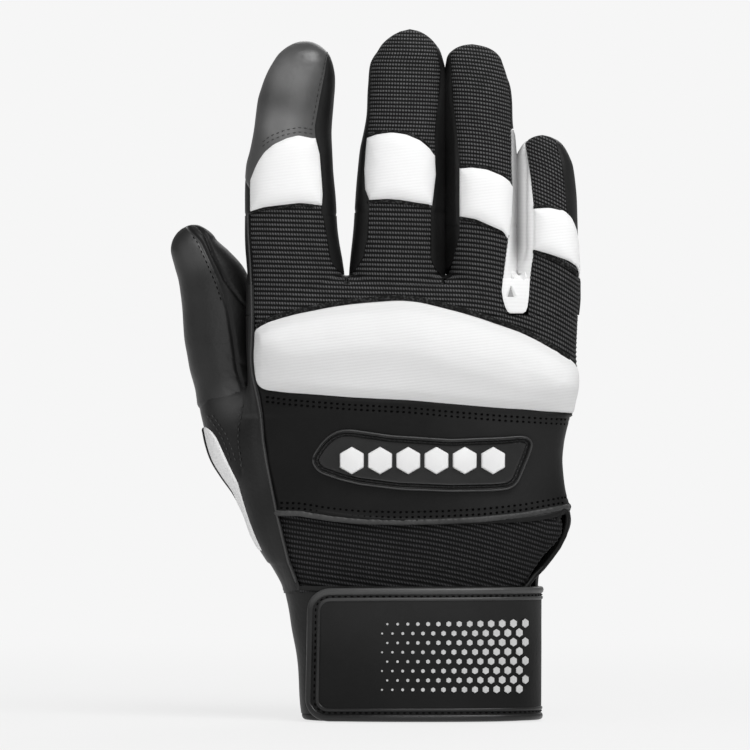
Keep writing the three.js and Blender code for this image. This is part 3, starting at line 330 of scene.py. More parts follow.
class Skin:
    """The outside of one part of the glove as rings of points: place round the ring runs from -1 at the
    middle of the palm side, by the left, to 0 at the middle of the back and on by the right to 1."""

    def __init__(self, heights, tubes, reach, samples, inset=None, deep=0.0, planes=None):
        self.heights = heights
        self.round = np.linspace(-1, 1, samples)
        z = heights[:, None]
        sections = [tube(z) for tube in tubes]
        fillet = np.interp(z, [60, 110, 134, 146, 148.5], [8, 8, 4, 2.5, 0.3])

        # Rays leave a line inside the first tube, and turn round its ends
        middle = sections[0][0]
        half = middle * 0 if inset is None else sections[0][2] - inset
        place, side = np.abs(self.round) * (2 * half + math.pi * ROLL), np.sign(self.round)
        angle = np.clip((place - half) / ROLL, 0, math.pi)
        slide = np.where(place < half, place, np.where(angle < math.pi, half, 2 * half + math.pi * ROLL - place))
        base_x, go_x, go_y = middle + side * slide, side * np.sin(angle), -np.cos(angle)

        def outside(away):
            total = None
            for middle, centre, wide, half, square, there in sections:
                x, y = base_x + go_x * away - middle, deep + go_y * away - centre
                radial = (np.abs(x / wide) ** square + np.abs(y / half) ** square) ** (1 / square) + 1e-9
                distance = np.where(there, (radial - 1) * np.hypot(x, y) / radial, 1e3)
                total = distance if total is None else joined(distance, total, fillet)
            if planes:
                x = base_x + go_x * away
                total = np.where(z < 148.6, np.maximum(total, np.maximum(planes[0] - x, x - planes[1])), total)
            return total

        steps = np.linspace(reach, 0, 26)
        near, far = np.zeros_like(base_x), np.full_like(base_x, reach)
        found = np.zeros(base_x.shape, bool)
        for step, before in zip(steps[1:], steps[:-1]):
            inside = outside(step) < 0
            near, far = np.where(inside & ~found, step, near), np.where(inside & ~found, before, far)
            found |= inside
        for _ in range(13):
            middle = (near + far) / 2
            inside = outside(middle) < 0
            near, far = np.where(inside, middle, near), np.where(inside, far, middle)
        self.x, self.y = base_x + go_x * near, deep + go_y * near
        steps = np.hypot(np.diff(self.x, axis=1), np.diff(self.y, axis=1))
        self.run = np.concatenate([np.zeros((len(z), 1)), np.cumsum(steps, 1)], 1)
        self.girth = self.run[:, -1:] + self.run * 0
        self.run -= self.run[:, samples // 2][:, None]

    def read(self, table, z, place):
        """Values of a table of the rings at heights z and places round the ring."""
        z, place = np.broadcast_arrays(np.asarray(z, float), np.asarray(place, float))
        row = np.interp(z, self.heights, np.arange(len(self.heights)))
        column = np.mod((place + 1) / 2 * (len(self.round) - 1), len(self.round) - 1)
        r = np.clip(row.astype(int), 0, len(self.heights) - 2)
        c = np.clip(column.astype(int), 0, len(self.round) - 2)
        fr, fc = row - r, column - c
        return (table[r, c] * (1 - fr) * (1 - fc) + table[r + 1, c] * fr * (1 - fc)
                + table[r, c + 1] * (1 - fr) * fc + table[r + 1, c + 1] * fr * fc)

    def at(self, z, place):
        """Points in millimetres at heights z and places round the ring."""
        x = self.read(self.x, z, place)
        return np.stack([x, self.read(self.y, z, place), z + x * 0], -1)

    def along(self, z, place):
        """Distance round the ring from the middle of the back, in millimetres."""
        return self.read(self.run, z, place) + np.floor((place + 1) / 2) * self.read(self.girth, z, place)

    def normal(self, z, place):
        """Outward directions at heights z and places round the ring."""
        step, wide = 0.5, 2.4 / (len(self.round) - 1)
        low, high = np.maximum(z - step, self.heights[0]), np.minimum(z + step, self.heights[-1])
        rise = self.at(high, place) - self.at(low, place)
        return unit(np.cross(self.at(z, place + wide) - self.at(z, place - wide), rise))

    def each(self, z, value, reading):
        """Reads something off the ring at each height."""
        z, value = np.broadcast_arrays(np.asarray(z, float), np.asarray(value, float))
        found = np.zeros(z.shape)
        for i in np.ndindex(z.shape):
            row = float(np.interp(z[i], self.heights, np.arange(len(self.heights))))
            low = min(int(row), len(self.heights) - 2)
            ring = (line[low] * (1 - row + low) + line[low + 1] * (row - low) for line in (self.x, self.y))
            found[i] = reading(*ring, value[i])
        return found

    def back_at(self, z, x):
        """Places round the ring where the back of the glove has these places across."""
        def reading(ring_x, _, x):
            part = slice(np.argmin(ring_x), np.argmax(ring_x) + 1)
            return np.interp(x, np.maximum.accumulate(ring_x[part]), self.round[part])
        return self.each(z, x, reading)

    def palm_at(self, z, x):
        """Places round the ring where the palm side of the glove has these places across, from 0.5 to 1.5."""
        def reading(ring_x, _, x):
            part = slice(np.argmax(ring_x), np.argmin(ring_x) + len(ring_x))
            turn = np.concatenate([ring_x, ring_x[1:]])[part]
            places = np.concatenate([self.round, self.round[1:] + 2])[part]
            return np.interp(-x, np.maximum.accumulate(-turn), places)
        return self.each(z, x, reading)

    def side_at(self, z, y, side):
        """Places round the ring where one side of the glove, -1 or 1, reaches these depths."""
        def reading(_, ring_y, y):
            half = len(self.round) // 2
            depths = ring_y[half:] if side > 0 else ring_y[half::-1]
            return side * np.interp(y, np.maximum.accumulate(depths), np.linspace(0, 1, len(depths)))
        return self.each(z, y, reading)


finger_tubes = {name: finger_tube(finger) for name, finger in FINGERS.items()}
hand_skin = Skin(np.linspace(44, 147.5, 208), [hand_tube, root_tube, *finger_tubes.values()], 46, 721, inset=13)
cuff_skin = Skin(np.linspace(-1, 45, 93), [cuff_tube], 40, 361, inset=16)
finger_skins = {
    name: Skin(closer(130, finger["foot"] + finger["length"], 240, 1.6), [finger_tubes[name], hand_tube], 26, 361,
               planes=finger["planes"]) for name, finger in FINGERS.items()}
THUMB_TOP = THUMB["foot"] + THUMB["length"]
thumb_skin = Skin(closer(100, THUMB_TOP, 200, 1.6), [finger_tube(THUMB)], 24, 361, deep=THUMB["centre"])


# Meshes
def lengths(points):
    """How far each point of a grid is along its row and along its column, in millimetres."""
    steps_u = np.linalg.norm(np.diff(points, axis=1), axis=-1)
    steps_v = np.linalg.norm(np.diff(points, axis=0), axis=-1)
    return (np.concatenate([np.zeros((len(points), 1)), np.cumsum(steps_u, 1)], 1),
            np.concatenate([np.zeros((1, points.shape[1])), np.cumsum(steps_v, 0)], 0))


def border(points):
    """Distance of each point of a grid from the nearest edge of the grid, in millimetres."""
    u, v = lengths(points)
    return np.minimum(np.minimum(u, u[:, -1:] - u), np.minimum(v, v[-1:] - v))


def grid_mesh(points):
    """A grid with its corners at the points, and the row and column of each corner."""
    rows, columns = points.shape[:2]
    mesh = bmesh.new()
    mesh.loops.layers.uv.new("cloth")
    bmesh.ops.create_grid(mesh, x_segments=columns - 1, y_segments=rows - 1, size=0.5)
    mesh.verts.ensure_lookup_table()
    corner = np.array([vertex.co[:2] for vertex in mesh.verts])
    column = np.rint((corner[:, 0] + 0.5) * (columns - 1)).astype(int)
    row = np.rint((corner[:, 1] + 0.5) * (rows - 1)).astype(int)
    for vertex, place in zip(mesh.verts, points[row, column]):
        vertex.co = place
    return mesh, row, column


def cloth_grid(name, points, material, thickness=0.0, uv=None, weld=2e-6):
    """A mesh from a grid of points in millimetres, with a wall of the given thickness under it."""
    mesh, row, column = grid_mesh(points * MM)
    if uv is None:
        u, v = lengths(points)
        uv = np.stack([u - u[:, -1:] / 2, v + points[0, :, 2].mean()], -1)
    uv = uv[row, column] * MM
    layer = mesh.loops.layers.uv["cloth"]
    for face in mesh.faces:
        for loop in face.loops:
            loop[layer].uv = uv[loop.vert.index]
    bmesh.ops.remove_doubles(mesh, verts=mesh.verts, dist=weld)
    return finished(name, mesh, material, thickness)


def placed(name, mesh):
    """Puts a mesh in the scene as an object."""
    data = bpy.data.meshes.new(name)
    mesh.to_mesh(data)
    mesh.free()
    piece = bpy.data.objects.new(name, data)
    bpy.context.scene.collection.objects.link(piece)
    return piece


def finished(name, mesh, material, thickness=0.0, angle=50):
    """Puts a mesh in the scene with its wall, its material and its sharp edges."""
    piece = placed(name, mesh)
    if thickness:
        wall = piece.modifiers.new("wall", "SOLIDIFY")
        wall.thickness, wall.offset = thickness * MM, -1
        graph = bpy.context.evaluated_depsgraph_get()
        made = bpy.data.meshes.new_from_object(piece.evaluated_get(graph), preserve_all_data_layers=True,
                                               depsgraph=graph)
        piece.modifiers.clear()
        piece.data = made
    piece.data.materials.clear()
    piece.data.materials.append(material)
    piece.data.shade_smooth()
    piece.data.set_sharp_from_angle(angle=math.radians(angle))
    return piece


def walked(path):
    """Distance along a path at each of its points."""
    return np.concatenate([[0], np.cumsum(np.linalg.norm(np.diff(path, axis=0), axis=1))])


def on_path(path, steps, places):
    """Points on a path at the given distances along it."""
    return np.stack([np.interp(places, steps, path[:, i]) for i in range(path.shape[1])], -1)


def smooth_path(points, count):
    """Evenly spaced points along a line given by a few points."""
    steps = walked(points)
    line = on_path(points, steps, np.linspace(0, steps[-1], count))
    for _ in range(3):
        line[1:-1] = line[:-2] * 0.25 + line[1:-1] * 0.5 + line[2:] * 0.25
    return line


def rope(name, path, lift, radius, material, sides=10, flat=1.0, closed=False):
    """A round or flattened cord along a path in millimetres, flat along its lift; its ends are closed."""
    along = unit(np.gradient(path, axis=0))
    size = np.full(len(path), radius)
    if closed:
        along[0] = along[-1] = unit(path[1] - path[-2])
    else:
        size[0] = size[-1] = 0.02
        size[1] = size[-2] = radius * 0.8
    aside = unit(np.cross(along, lift))
    above = unit(np.cross(aside, along))
    turn = np.linspace(0, 2 * math.pi, sides + 1)
    ring = np.cos(turn)[None, :, None] * aside[:, None] + np.sin(turn)[None, :, None] * above[:, None] * flat
    return cloth_grid(name, path[:, None] + ring * size[:, None, None], material, weld=1e-5)


def stitches(name, rows, material, pitch, length, radius):
    """Rows of stitches: each row is a path in millimetres and the outward normals along it."""
    mesh = bmesh.new()
    for path, normals in rows:
        steps = walked(path)
        places = np.arange(pitch / 2, steps[-1], pitch)
        rise = unit(on_path(normals, steps, places))
        ahead = unit(on_path(path, steps, places + 0.3) - on_path(path, steps, places - 0.3))
        aside = unit(np.cross(rise, ahead))
        for c, a, s, r in zip(on_path(path, steps, places), ahead, aside, rise):
            turn = Matrix([a * length / 2, s * radius, r * radius]).transposed().to_4x4()
            bmesh.ops.create_icosphere(mesh, subdivisions=1, radius=1, matrix=Matrix.Translation(Vector(
                c * MM)) @ turn @ Matrix.Diagonal((MM, MM, MM, 1)))
    return finished(name, mesh, material, angle=80)


def stud(mesh, skin, z, x, lift, foot, head, depth):
    """Adds a six-sided stud that stands on a skin."""
    place = skin.back_at(z, x)
    normal = skin.normal(z, place)
    turn = Vector(normal).to_track_quat("Z", "Y").to_matrix().to_4x4()
    centre = Vector((skin.at(z, place) + normal * lift) * MM)
    bmesh.ops.create_cone(mesh, cap_ends=True, segments=6, radius1=foot * MM, radius2=head * MM, depth=depth * MM,
                          matrix=Matrix.Translation(centre) @ turn)


# Shader maths as expressions
class Value:
    """The output of one node."""

    def __init__(self, recipe, socket):
        self.recipe, self.socket = recipe, socket

    def maths(self, operation, *others):
        return self.recipe.node("ShaderNodeMath", {"operation": operation}, dict(enumerate((self, *others))))

    def __add__(self, other):
        return self.maths("ADD", other)

    def __sub__(self, other):
        return self.maths("SUBTRACT", other)

    def __mul__(self, other):
        return self.maths("MULTIPLY", other)

    def __truediv__(self, other):
        return self.maths("DIVIDE", other)

    def to(self, low, high, start=0.0, end=1.0):
        """Rises smoothly from start to end as the value goes from low to high."""
        return self.recipe.node("ShaderNodeMapRange", {"interpolation_type": "SMOOTHSTEP"}, {
            "Value": self, "From Min": low, "From Max": high, "To Min": start, "To Max": end})

    def fraction(self):
        return self.maths("FRACT")

    def wave(self):
        return self.maths("SINE") * 0.5 + 0.5

    def size(self):
        return self.maths("ABSOLUTE")


class Recipe:
    """The nodes of a material or of the world, being put together."""

    def __init__(self, owner):
        owner.use_nodes = True
        self.owner, self.tree = owner, owner.node_tree
        self.tree.nodes.clear()

    def node(self, kind, settings, inputs, output=0):
        made = self.tree.nodes.new(kind)
        for setting, value in settings.items():
            setattr(made, setting, value)
        for socket, value in inputs.items():
            if isinstance(value, Value):
                self.tree.links.new(value.socket, made.inputs[socket])
            else:
                made.inputs[socket].default_value = value
        return Value(self, made.outputs[output]) if made.outputs else None

    def place(self):
        return self.node("ShaderNodeTexCoord", {}, {}, "Object")

    def axis(self, which, vector=None):
        """One coordinate in millimetres, of the object or of a vector."""
        return self.node("ShaderNodeSeparateXYZ", {}, {0: vector or self.place()}, which) * 1000

    def noise(self, scale, detail=3.0, rough=0.55):
        return self.node("ShaderNodeTexNoise", {}, {
            "Vector": self.place(), "Scale": scale, "Detail": detail, "Roughness": rough}, "Fac")

    def blend(self, share, first, second):
        """From one colour to another, either of them a tone of grey."""
        first, second = (grey(tone) if isinstance(tone, float) else tone for tone in (first, second))
        return self.node("ShaderNodeMix", {"data_type": "RGBA"}, {"Factor": share, 6: first, 7: second}, 2)

    def bump(self, height, distance, strength, **under):
        return self.node("ShaderNodeBump", {}, {
            "Height": height, "Distance": distance, "Strength": strength, **under})

    def finish(self, colour, roughness, normal, shine=0.5):
        shader = self.node("ShaderNodeBsdfPrincipled", {}, {
            "Base Color": colour, "Roughness": roughness, "Normal": normal, "Specular IOR Level": shine})
        self.node("ShaderNodeOutputMaterial", {}, {"Surface": shader})
        return self.owner


def material(name):
    """Starts a new material."""
    return Recipe(bpy.data.materials.new(name))


def grey(level):
    """A colour without hue."""
    return level, level, level, 1.0


def leather(name, dark, light, rough, grain=900, depth=0.00012, shine=0.3, highlight_spots=(), crest=None, highlight_tone=0.0):
    """Fine-grained leather: small cells, wider wrinkles and a slightly uneven sheen, with painted highlights: paler
    round each highlight spot, a point in millimetres and a reach, and paler upwards between the crest heights, both
    towards the highlight tone."""
    r = material(name)
    pebbles = r.node("ShaderNodeTexVoronoi", {"feature": "SMOOTH_F1"}, {"Vector": r.place(), "Scale": grain},
                     "Distance")
    uneven = r.noise(60, 4)
    creases = r.noise(140, 5, 0.65)
    normal = r.bump(pebbles * 0.6 + creases * 0.4, depth, 0.8)
    normal = r.bump(uneven, 0.0008, 0.5, Normal=normal)
    colour = r.blend(uneven.to(0.3, 0.75), dark, light)
    # Painted highlights: the colour grows paler round each spot.
    for x, y, z, reach in highlight_spots:
        away = r.node("ShaderNodeVectorMath", {"operation": "DISTANCE"}, {
            0: r.place(), 1: (x * MM, y * MM, z * MM)}, "Value")
        near = away.to(reach * MM, reach * 0.15 * MM)
        colour = r.blend(near * near * (uneven * 0.8 + 0.6), colour, highlight_tone)
    # Painted highlight: paler upwards between the crest heights.
    if crest:
        colour = r.blend(r.axis(2).to(*crest) * (uneven * 0.8 + 0.6), colour, highlight_tone)
    return r.finish(colour, creases * 0.16 + uneven * 0.12 + (rough - 0.14), normal, shine)


def knit(name, dark, light, rib, stitch, lean=0.45):
    """Ribbed knit: rows of small slanted stitches on each rib, with painted shade between the ribs and the stitches
    and painted highlight on their crests.
    """
    r = material(name)
    cloth = r.node("ShaderNodeUVMap", {"uv_map": "cloth"}, {}, "UV")
    row = (r.axis(1, cloth) / rib + 0.5).fraction()
    slant = (r.axis(0, cloth) / stitch + row * lean).fraction()
    loop = ((slant - 0.5).size() * 2).to(0.85, 0.3)
    crest = (row - 0.5).size().to(0.38, 0.1)
    fuzz = r.noise(2600, 2)
    # Painted shade between the ribs and stitches, painted highlight on their crests.
    share = crest * (loop * 0.92 + 0.08) * (r.noise(240) * 0.9 + 0.45) * (fuzz * 1.2 + 0.4)
    height = crest * (loop * 0.6 + 0.4) + fuzz * 0.12
    return r.finish(r.blend(share, dark, (light, light, light + 0.002, 1.0)), 0.85, r.bump(height, 0.00022, 0.9),
                    0.2)


def white_cloth(name, pale, shade, slope=0.12, pitch=1.0, fold=0.0):
    """Smooth stretch cloth with fine ribbing that rises slightly to the right; with a fold tone it is painted darker
    in the gap between the ring and little fingers, growing upwards, as painted shade."""
    r = material(name)
    x, z = r.axis(0), r.axis(2)
    lines = ((z - x * slope) * (2 * math.pi / pitch)).wave()
    weave = r.noise(1800, 2)
    colour = r.blend(lines * 0.35 + weave * 0.3 + r.noise(45, 2) * 0.35, shade, pale)
    if fold:
        # Painted shade in the gap between the ring and little fingers, growing upwards.
        colour = r.blend((x - 47.2).size().to(3.4, 0.3) * z.to(147.0, 160.0), colour, fold)
    return r.finish(colour, 0.8, r.bump(lines * 0.7 + weave * 0.5, 0.00005, 0.7), 0.2)


def moulded(name, dark, light, rough, shine=0.3):
    """Matt moulded rubber or plastic film with a fine texture."""
    r = material(name)
    fine = r.noise(2200)
    return r.finish(r.blend(r.noise(70).to(0.3, 0.7), dark, light), fine * 0.14 + (rough - 0.07),
                    r.bump(fine, 0.00006, 0.5), shine)


def thread(name, dark, light, shine):
    """Twisted sewing thread."""
    r = material(name)
    twist = ((r.axis(0) + r.axis(2)) * 22).wave()
    return r.finish(r.blend(twist, dark, light), 0.5, r.bump(twist, 0.00005, 0.6), shine)


def overlock(name, dark, light):
    """Edge stitching: a close, grainy cover of thread."""
    r = material(name)
    grain = r.noise(1300, 2, 0.7)
    return r.finish(r.blend(grain.to(0.45, 0.7), dark, light), 0.8, r.bump(grain, 0.0002, 0.8), 0.2)


def webbing(name, dark, light):
    """Woven tape: small over-and-under cells."""
    r = material(name)
    x, y, z = (r.axis(i) for i in range(3))
    over = ((x + y) * 5.2).maths("SINE") * (z * 5.2).maths("SINE") * 0.5 + 0.5
    rough = r.noise(1500, 2)
    return r.finish(r.blend(over * 0.7 + rough * 0.3, dark, light), 0.68,
                    r.bump(over * 0.8 + rough * 0.3, 0.00012, 0.8))


# Painted highlight at the foot of the thumb, on the palm and the thumb leather: its centre in millimetres and its
# reach.
THUMB_FOOT_HIGHLIGHT = (-47.0, 0.0, 107.0, 13.5)
black_leather = leather("black leather", 0.005, 0.01, 0.48, shine=0.28)
palm_finish = leather("palm leather", 0.006, 0.012, 0.44, 850, highlight_spots=[THUMB_FOOT_HIGHLIGHT], highlight_tone=0.05)
# The band is painted paler towards the little finger's side, as painted light.
band_leather = leather("band leather", 0.001, 0.003, 0.52, 800, 0.0001, 0.2, [(48.0, -14.0, 88.0, 46.0)], highlight_tone=0.012)
# The strap is painted paler towards its top and the binding along its top edge, as painted light.
strap_leather = leather("strap leather", 0.002, 0.004, 0.54, 1000, 0.00008, 0.2, crest=(6, 46), highlight_tone=0.014)
binding_leather = leather("binding leather", 0.004, 0.008, 0.4, 900, 0.00008, 0.45, crest=(37, 43), highlight_tone=0.055)
# Painted highlights on the index tip.
gloss_leather = leather("gloss leather", 0.048, 0.07, 0.36, 700, 0.00009, 0.6,
                        [(-29.0, -9.0, 215.0, 14.0), (-31.5, -9.0, 198.0, 12.0)], highlight_tone=0.15)
patch_leather = leather("patch leather", 0.012, 0.02, 0.4, 700, 0.0001, 0.5)
# Painted highlights at the foot of the thumb and high on its back.
thumb_leather = leather("thumb leather", 0.006, 0.012, 0.42, 800, 0.0001, 0.42,
                        [THUMB_FOOT_HIGHLIGHT, (-60.0, 6.0, 156.0, 13.0)], highlight_tone=0.045)
# A paler copy of the leather for the band's rolled lower edge, as painted highlight.
fold_leather = leather("folded leather edge", 0.028, 0.055, 0.5, 1000, 0.0003, 0.35)
# A paler copy of the black leather for the piping cords, as painted highlight along them.
piping_leather = leather("piping leather", 0.03, 0.045, 0.42, shine=0.5)
side_leather = leather("side leather", 0.005, 0.01, 0.5, shine=0.28)
black_knit = knit("black rib knit", 0.003, 0.11, LOW_RIB, 0.92)
tip_knit = knit("fine rib knit", 0.004, 0.13, TIP_RIB, 1.0, 0.12)
gusset_knit = knit("gusset rib knit", 0.002, 0.04, WRIST_RIB, 0.95)
side_knit = knit("thumb side knit", 0.004, 0.035, 0.95, 0.9)
seam_tape = overlock("seam tape", 0.002, 0.045)
white_knit = white_cloth("white stretch cloth", 0.95, 0.89)
# A darker copy of the white cloth for the padded crescent, as painted shade.
crescent_shaded_cloth = white_cloth("crescent cloth", 0.86, 0.78)
white_side = white_cloth("white side cloth", 0.8, 0.72, 0.0, 1.2)
# A darker copy of the white cloth for the walls, their foot and web between the ring and little fingers, with painted
# shade in their gap.
shaded_wall_cloth = white_cloth("white wall cloth", 0.88, 0.8, 0.0, 1.2, 0.3)
# A dark grey copy of the white cloth, laid in the foot's pit as painted shade.
dimple_shade_cloth = white_cloth("dimple shade cloth", 0.34, 0.3)
hole_thread = thread("sunken thread", 0.001, 0.002, 0.02)
black_thread = thread("black thread", 0.012, 0.05, 0.5)
black_rubber = moulded("black rubber", 0.01, 0.016, 0.45, 0.25)
# A paler, shinier copy of the black rubber for the badge's rim line, as painted highlight.
rim_rubber = moulded("rim rubber", 0.02, 0.03, 0.42, 0.5)
white_rubber = moulded("white rubber", 0.8, 0.86, 0.42)
silver_film = moulded("silver film", 0.52, 0.58, 0.35, 0.5)
black_tape = webbing("black tape", 0.006, 0.02)


# Camera at the photograph's place, stage and lights
def added(name, data, place, turn):
    """Puts a camera or a lamp in the scene."""
    made = bpy.data.objects.new(name, data)
    made.location, made.rotation_euler = place, turn
    bpy.context.scene.collection.objects.link(made)
    return made


def stage():
    """Sets up the camera, the floor, the surroundings and the lamps."""
    camera = bpy.data.cameras.new("camera")
    camera.lens, camera.sensor_width, camera.clip_end = 360, 36, 20
    bpy.context.scene.camera = added("camera", camera, (0, -2.5, 0.115), (math.radians(90), 0, 0))

    mesh = bmesh.new()
    bmesh.ops.create_grid(mesh, x_segments=2, y_segments=2, size=6)
    r = material("pale floor")
    seen, glossy, through = (r.node("ShaderNodeLightPath", {}, {}, f"Is {ray} Ray") for ray in (
        "Camera", "Glossy", "Transmission"))
    away = r.node("ShaderNodeVectorMath", {"operation": "LENGTH"}, {0: r.place()}, "Value")
    paint = r.node("ShaderNodeBsdfDiffuse", {}, {"Color": grey(0.84)})
    glow = r.node("ShaderNodeEmission", {}, {"Color": grey(0.922), "Strength": 1.0})
    share = seen.maths("MAXIMUM", glossy.maths("MAXIMUM", through)) * away.to(0.15, 0.8, 0.8, 1.0)
    surface = r.node("ShaderNodeMixShader", {}, {0: share, 1: paint, 2: glow})
    r.node("ShaderNodeOutputMaterial", {}, {"Surface": surface})
    finished("floor", mesh, r.owner)

    world = Recipe(bpy.data.worlds.new("studio"))
    bpy.context.scene.world = world.owner
    dim, pale = (world.node("ShaderNodeBackground", {}, {"Color": grey(tone), "Strength": strength})
                 for tone, strength in ((0.8, 0.4), (0.922, 1.0)))
    seen = world.node("ShaderNodeLightPath", {}, {}, "Is Camera Ray")
    surface = world.node("ShaderNodeMixShader", {}, {0: seen, 1: dim, 2: pale})
    world.node("ShaderNodeOutputWorld", {}, {"Surface": surface})

    for name, place, aim, size, power in [
            ("key", (0.6, -1.1, 1.8), (0, 0, 0.12), 1.2, 31), ("fill", (-1.5, -1.2, 0.7), (0, 0, 0.1), 1.2, 2),
            ("front", (0.1, -2.3, 0.5), (0, 0, 0.12), 0.9, 5), ("back", (0.3, 1.6, 1.2), (0, 0, 0.1), 1.2, 9)]:
        lamp = bpy.data.lights.new(name, "AREA")
        lamp.size, lamp.energy = size, power
        added(name, lamp, place, (Vector(aim) - Vector(place)).to_track_quat("-Z", "Y").to_euler())


bpy.context.scene.view_settings.view_transform = "Standard"
stage()


# Pieces
def panel(name, skin, z, place, material, relief=0.0, thickness=1.0, tuck=0.5, tuck_width=1.6, rows=None,
          forward=None, cap=0.0):
    """A sewn panel on a skin: heights and places of its grid, and how far it stands out of the skin.
    Its edges turn down by tuck into the seams, and a knit pattern follows its rows. Forward is relief that only
    grows out of the back, and cap is how far a padded panel may swell as simulated cloth."""
    z, place = np.broadcast_arrays(z[:, None] if z.ndim == 1 else z, place)
    flat, normals = skin.at(z, place), skin.normal(z, place)
    rise = relief(flat) if callable(relief) else relief
    rise = (rise - tuck * (1 - ease(border(flat) / tuck_width))) * np.clip(lengths(flat)[0][:, -1:] / 5, 0, 1)
    points = flat + normals * rise[..., None]
    if forward is not None:
        points[..., 1] -= forward(flat) * np.clip(-normals[..., 1], 0, 1) ** 0.7
    if cap:
        points = filled(points, cap * np.clip(-normals[..., 1:2], 0.15, 1))
    uv = np.stack([skin.along(z, place), rows(flat) if rows else z], -1)
    return cloth_grid(name, points, material, thickness, uv)


def between(low, high, count):
    """Heights evenly spread between two seams, one column for each value of the seams."""
    share = np.linspace(0, 1, count)[:, None]
    return np.asarray(low) * (1 - share) + np.asarray(high) * share


def spread(start, end, count):
    """Places evenly spread between two edges, one row for each value of the edges."""
    return between(start, end, count).T


def drooping(slope, amount, start, width, power):
    """Heights in a knit whose rows slope, and droop towards the little finger."""
    def height(flat):
        x = flat[..., 0]
        return flat[..., 2] + slope * (x + 45) + amount * np.clip((x - start) / width, 0, 1) ** power
    return height


rib_height = drooping(0.03, 12, 25, 43, 2.2)
wrist_height = drooping(0.15, 5, 15, 42, 1.7)


def ribs(period=LOW_RIB, depth=0.16, base=-0.35, rows=rib_height):
    """Relief of ribbed knit: a wave up the glove."""
    return lambda flat: base + depth * np.cos(2 * math.pi * rows(flat) / period)


def knit_panel(*shape, tuck=0.0, rows=rib_height, thickness=1.0):
    """A panel of ribbed knit, whose pattern follows its rows."""
    return panel(*shape, tuck=tuck, rows=rows, thickness=thickness)


def filled(points, cap):
    """Lets a seamed panel swell over its filling as simulated cloth: its edges are held in the seams, and no
    point moves more than cap millimetres. The cloth is worked at many times its size, where it is stable."""
    scene = bpy.context.scene
    mesh, row, column = grid_mesh(points * MM * FILLING_SCALE)
    sheet = placed("panel being filled", mesh)
    held = (row == 0) | (row == len(points) - 1) | (column == 0) | (column == points.shape[1] - 1)
    sheet.vertex_groups.new(name="seam").add([int(k) for k in np.flatnonzero(held)], 1.0, "REPLACE")
    cloth = sheet.modifiers.new("filling", "CLOTH")
    for setting, value in dict(
            quality=5, mass=0.2, tension_stiffness=6.0, compression_stiffness=6.0, shear_stiffness=3.0,
            bending_stiffness=0.3, shrink_min=-0.01, use_pressure=True, uniform_pressure_force=FILLING_PRESSURE,
            vertex_group_mass="seam").items():
        setattr(cloth.settings, setting, value)
    cloth.settings.effector_weights.gravity = 0
    cloth.collision_settings.use_collision = False
    for frame_number in range(1, FILLING_FRAMES + 1):
        scene.frame_set(frame_number)
    made = sheet.evaluated_get(bpy.context.evaluated_depsgraph_get()).to_mesh()
    step = np.zeros(points.shape)
    moved = np.array([vertex.co[:] for vertex in made.vertices]) / MM / FILLING_SCALE
    step[row, column] = moved - points[row, column]
    bpy.data.objects.remove(sheet)
    scene.frame_set(1)
    step *= np.minimum(1, cap / np.maximum(np.linalg.norm(step, axis=-1, keepdims=True), 1e-6))
    for _ in range(14):
        around = step[:-2, 1:-1] + step[2:, 1:-1] + step[1:-1, :-2] + step[1:-1, 2:]
        step[1:-1, 1:-1] = step[1:-1, 1:-1] * 0.4 + around * 0.15
    return points + step


def unevenness(flat, size, *waves):
    """Slow hollows and swellings of worn leather and cloth; each wave is its reach across and up."""
    x, z = flat[..., 0] + flat[..., 1] * 0.7, flat[..., 2]
    total = 0
    for number, (wide, tall) in enumerate(waves):
        total = total + np.sin(x / wide * 2 * math.pi + number * 1.7 + np.sin(z / tall * 5 + number))
        total = total + np.sin(z / tall * 2 * math.pi + number * 2.3 + np.sin(x / wide * 4))
    return total * size / (2 * len(waves))


def tape(name, skin, z, place, width, lift):
    """A narrow strip along a line on a skin; width is how far it reaches up from the line, in millimetres."""
    heights = np.linspace(0, 1, 7)[:, None] * width + z
    places = place(heights) if callable(place) else place
    relief = lift + 0.3 * (1 - np.linspace(-1, 1, 7)[:, None] ** 2)
    return panel(name, skin, heights, places, seam_tape, relief, thickness=0.6, tuck=0.0)


def seam_row(skin, z, place, lift):
    """A line on a skin: its points and the outward directions along it."""
    normals = skin.normal(z, place)
    return skin.at(z, place) + normals * lift, normals


def back_row(z, x, lift, skin=hand_skin):
    """The same on the back of the glove, at places across."""
    return seam_row(skin, z, skin.back_at(z, x), lift)


def dress(piece, slot, hold, *nodes):
    """Hides the solids that a piece stands for and makes it ride on a body; with two bodies and a range it only fixes
    the mesh where it stands. Its finish, the slot, is not used.
    """
    if nodes:
        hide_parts(*nodes)
    if isinstance(hold, str):
        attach(piece, hold)
    else:
        first, second, start, end = hold
        start * MM
        end * MM
        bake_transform(piece)
    return piece


# Back of the hand
def left_edge(z):
    """Places of the seam beside the thumb at the heights z."""
    return hand_skin.back_at(z, by_z(LEFT_SEAM, z))


def right_edge(z):
    """Places of the seam on the little finger's side at the heights z."""
    return hand_skin.side_at(z, BACK_SEAM_Y, 1)


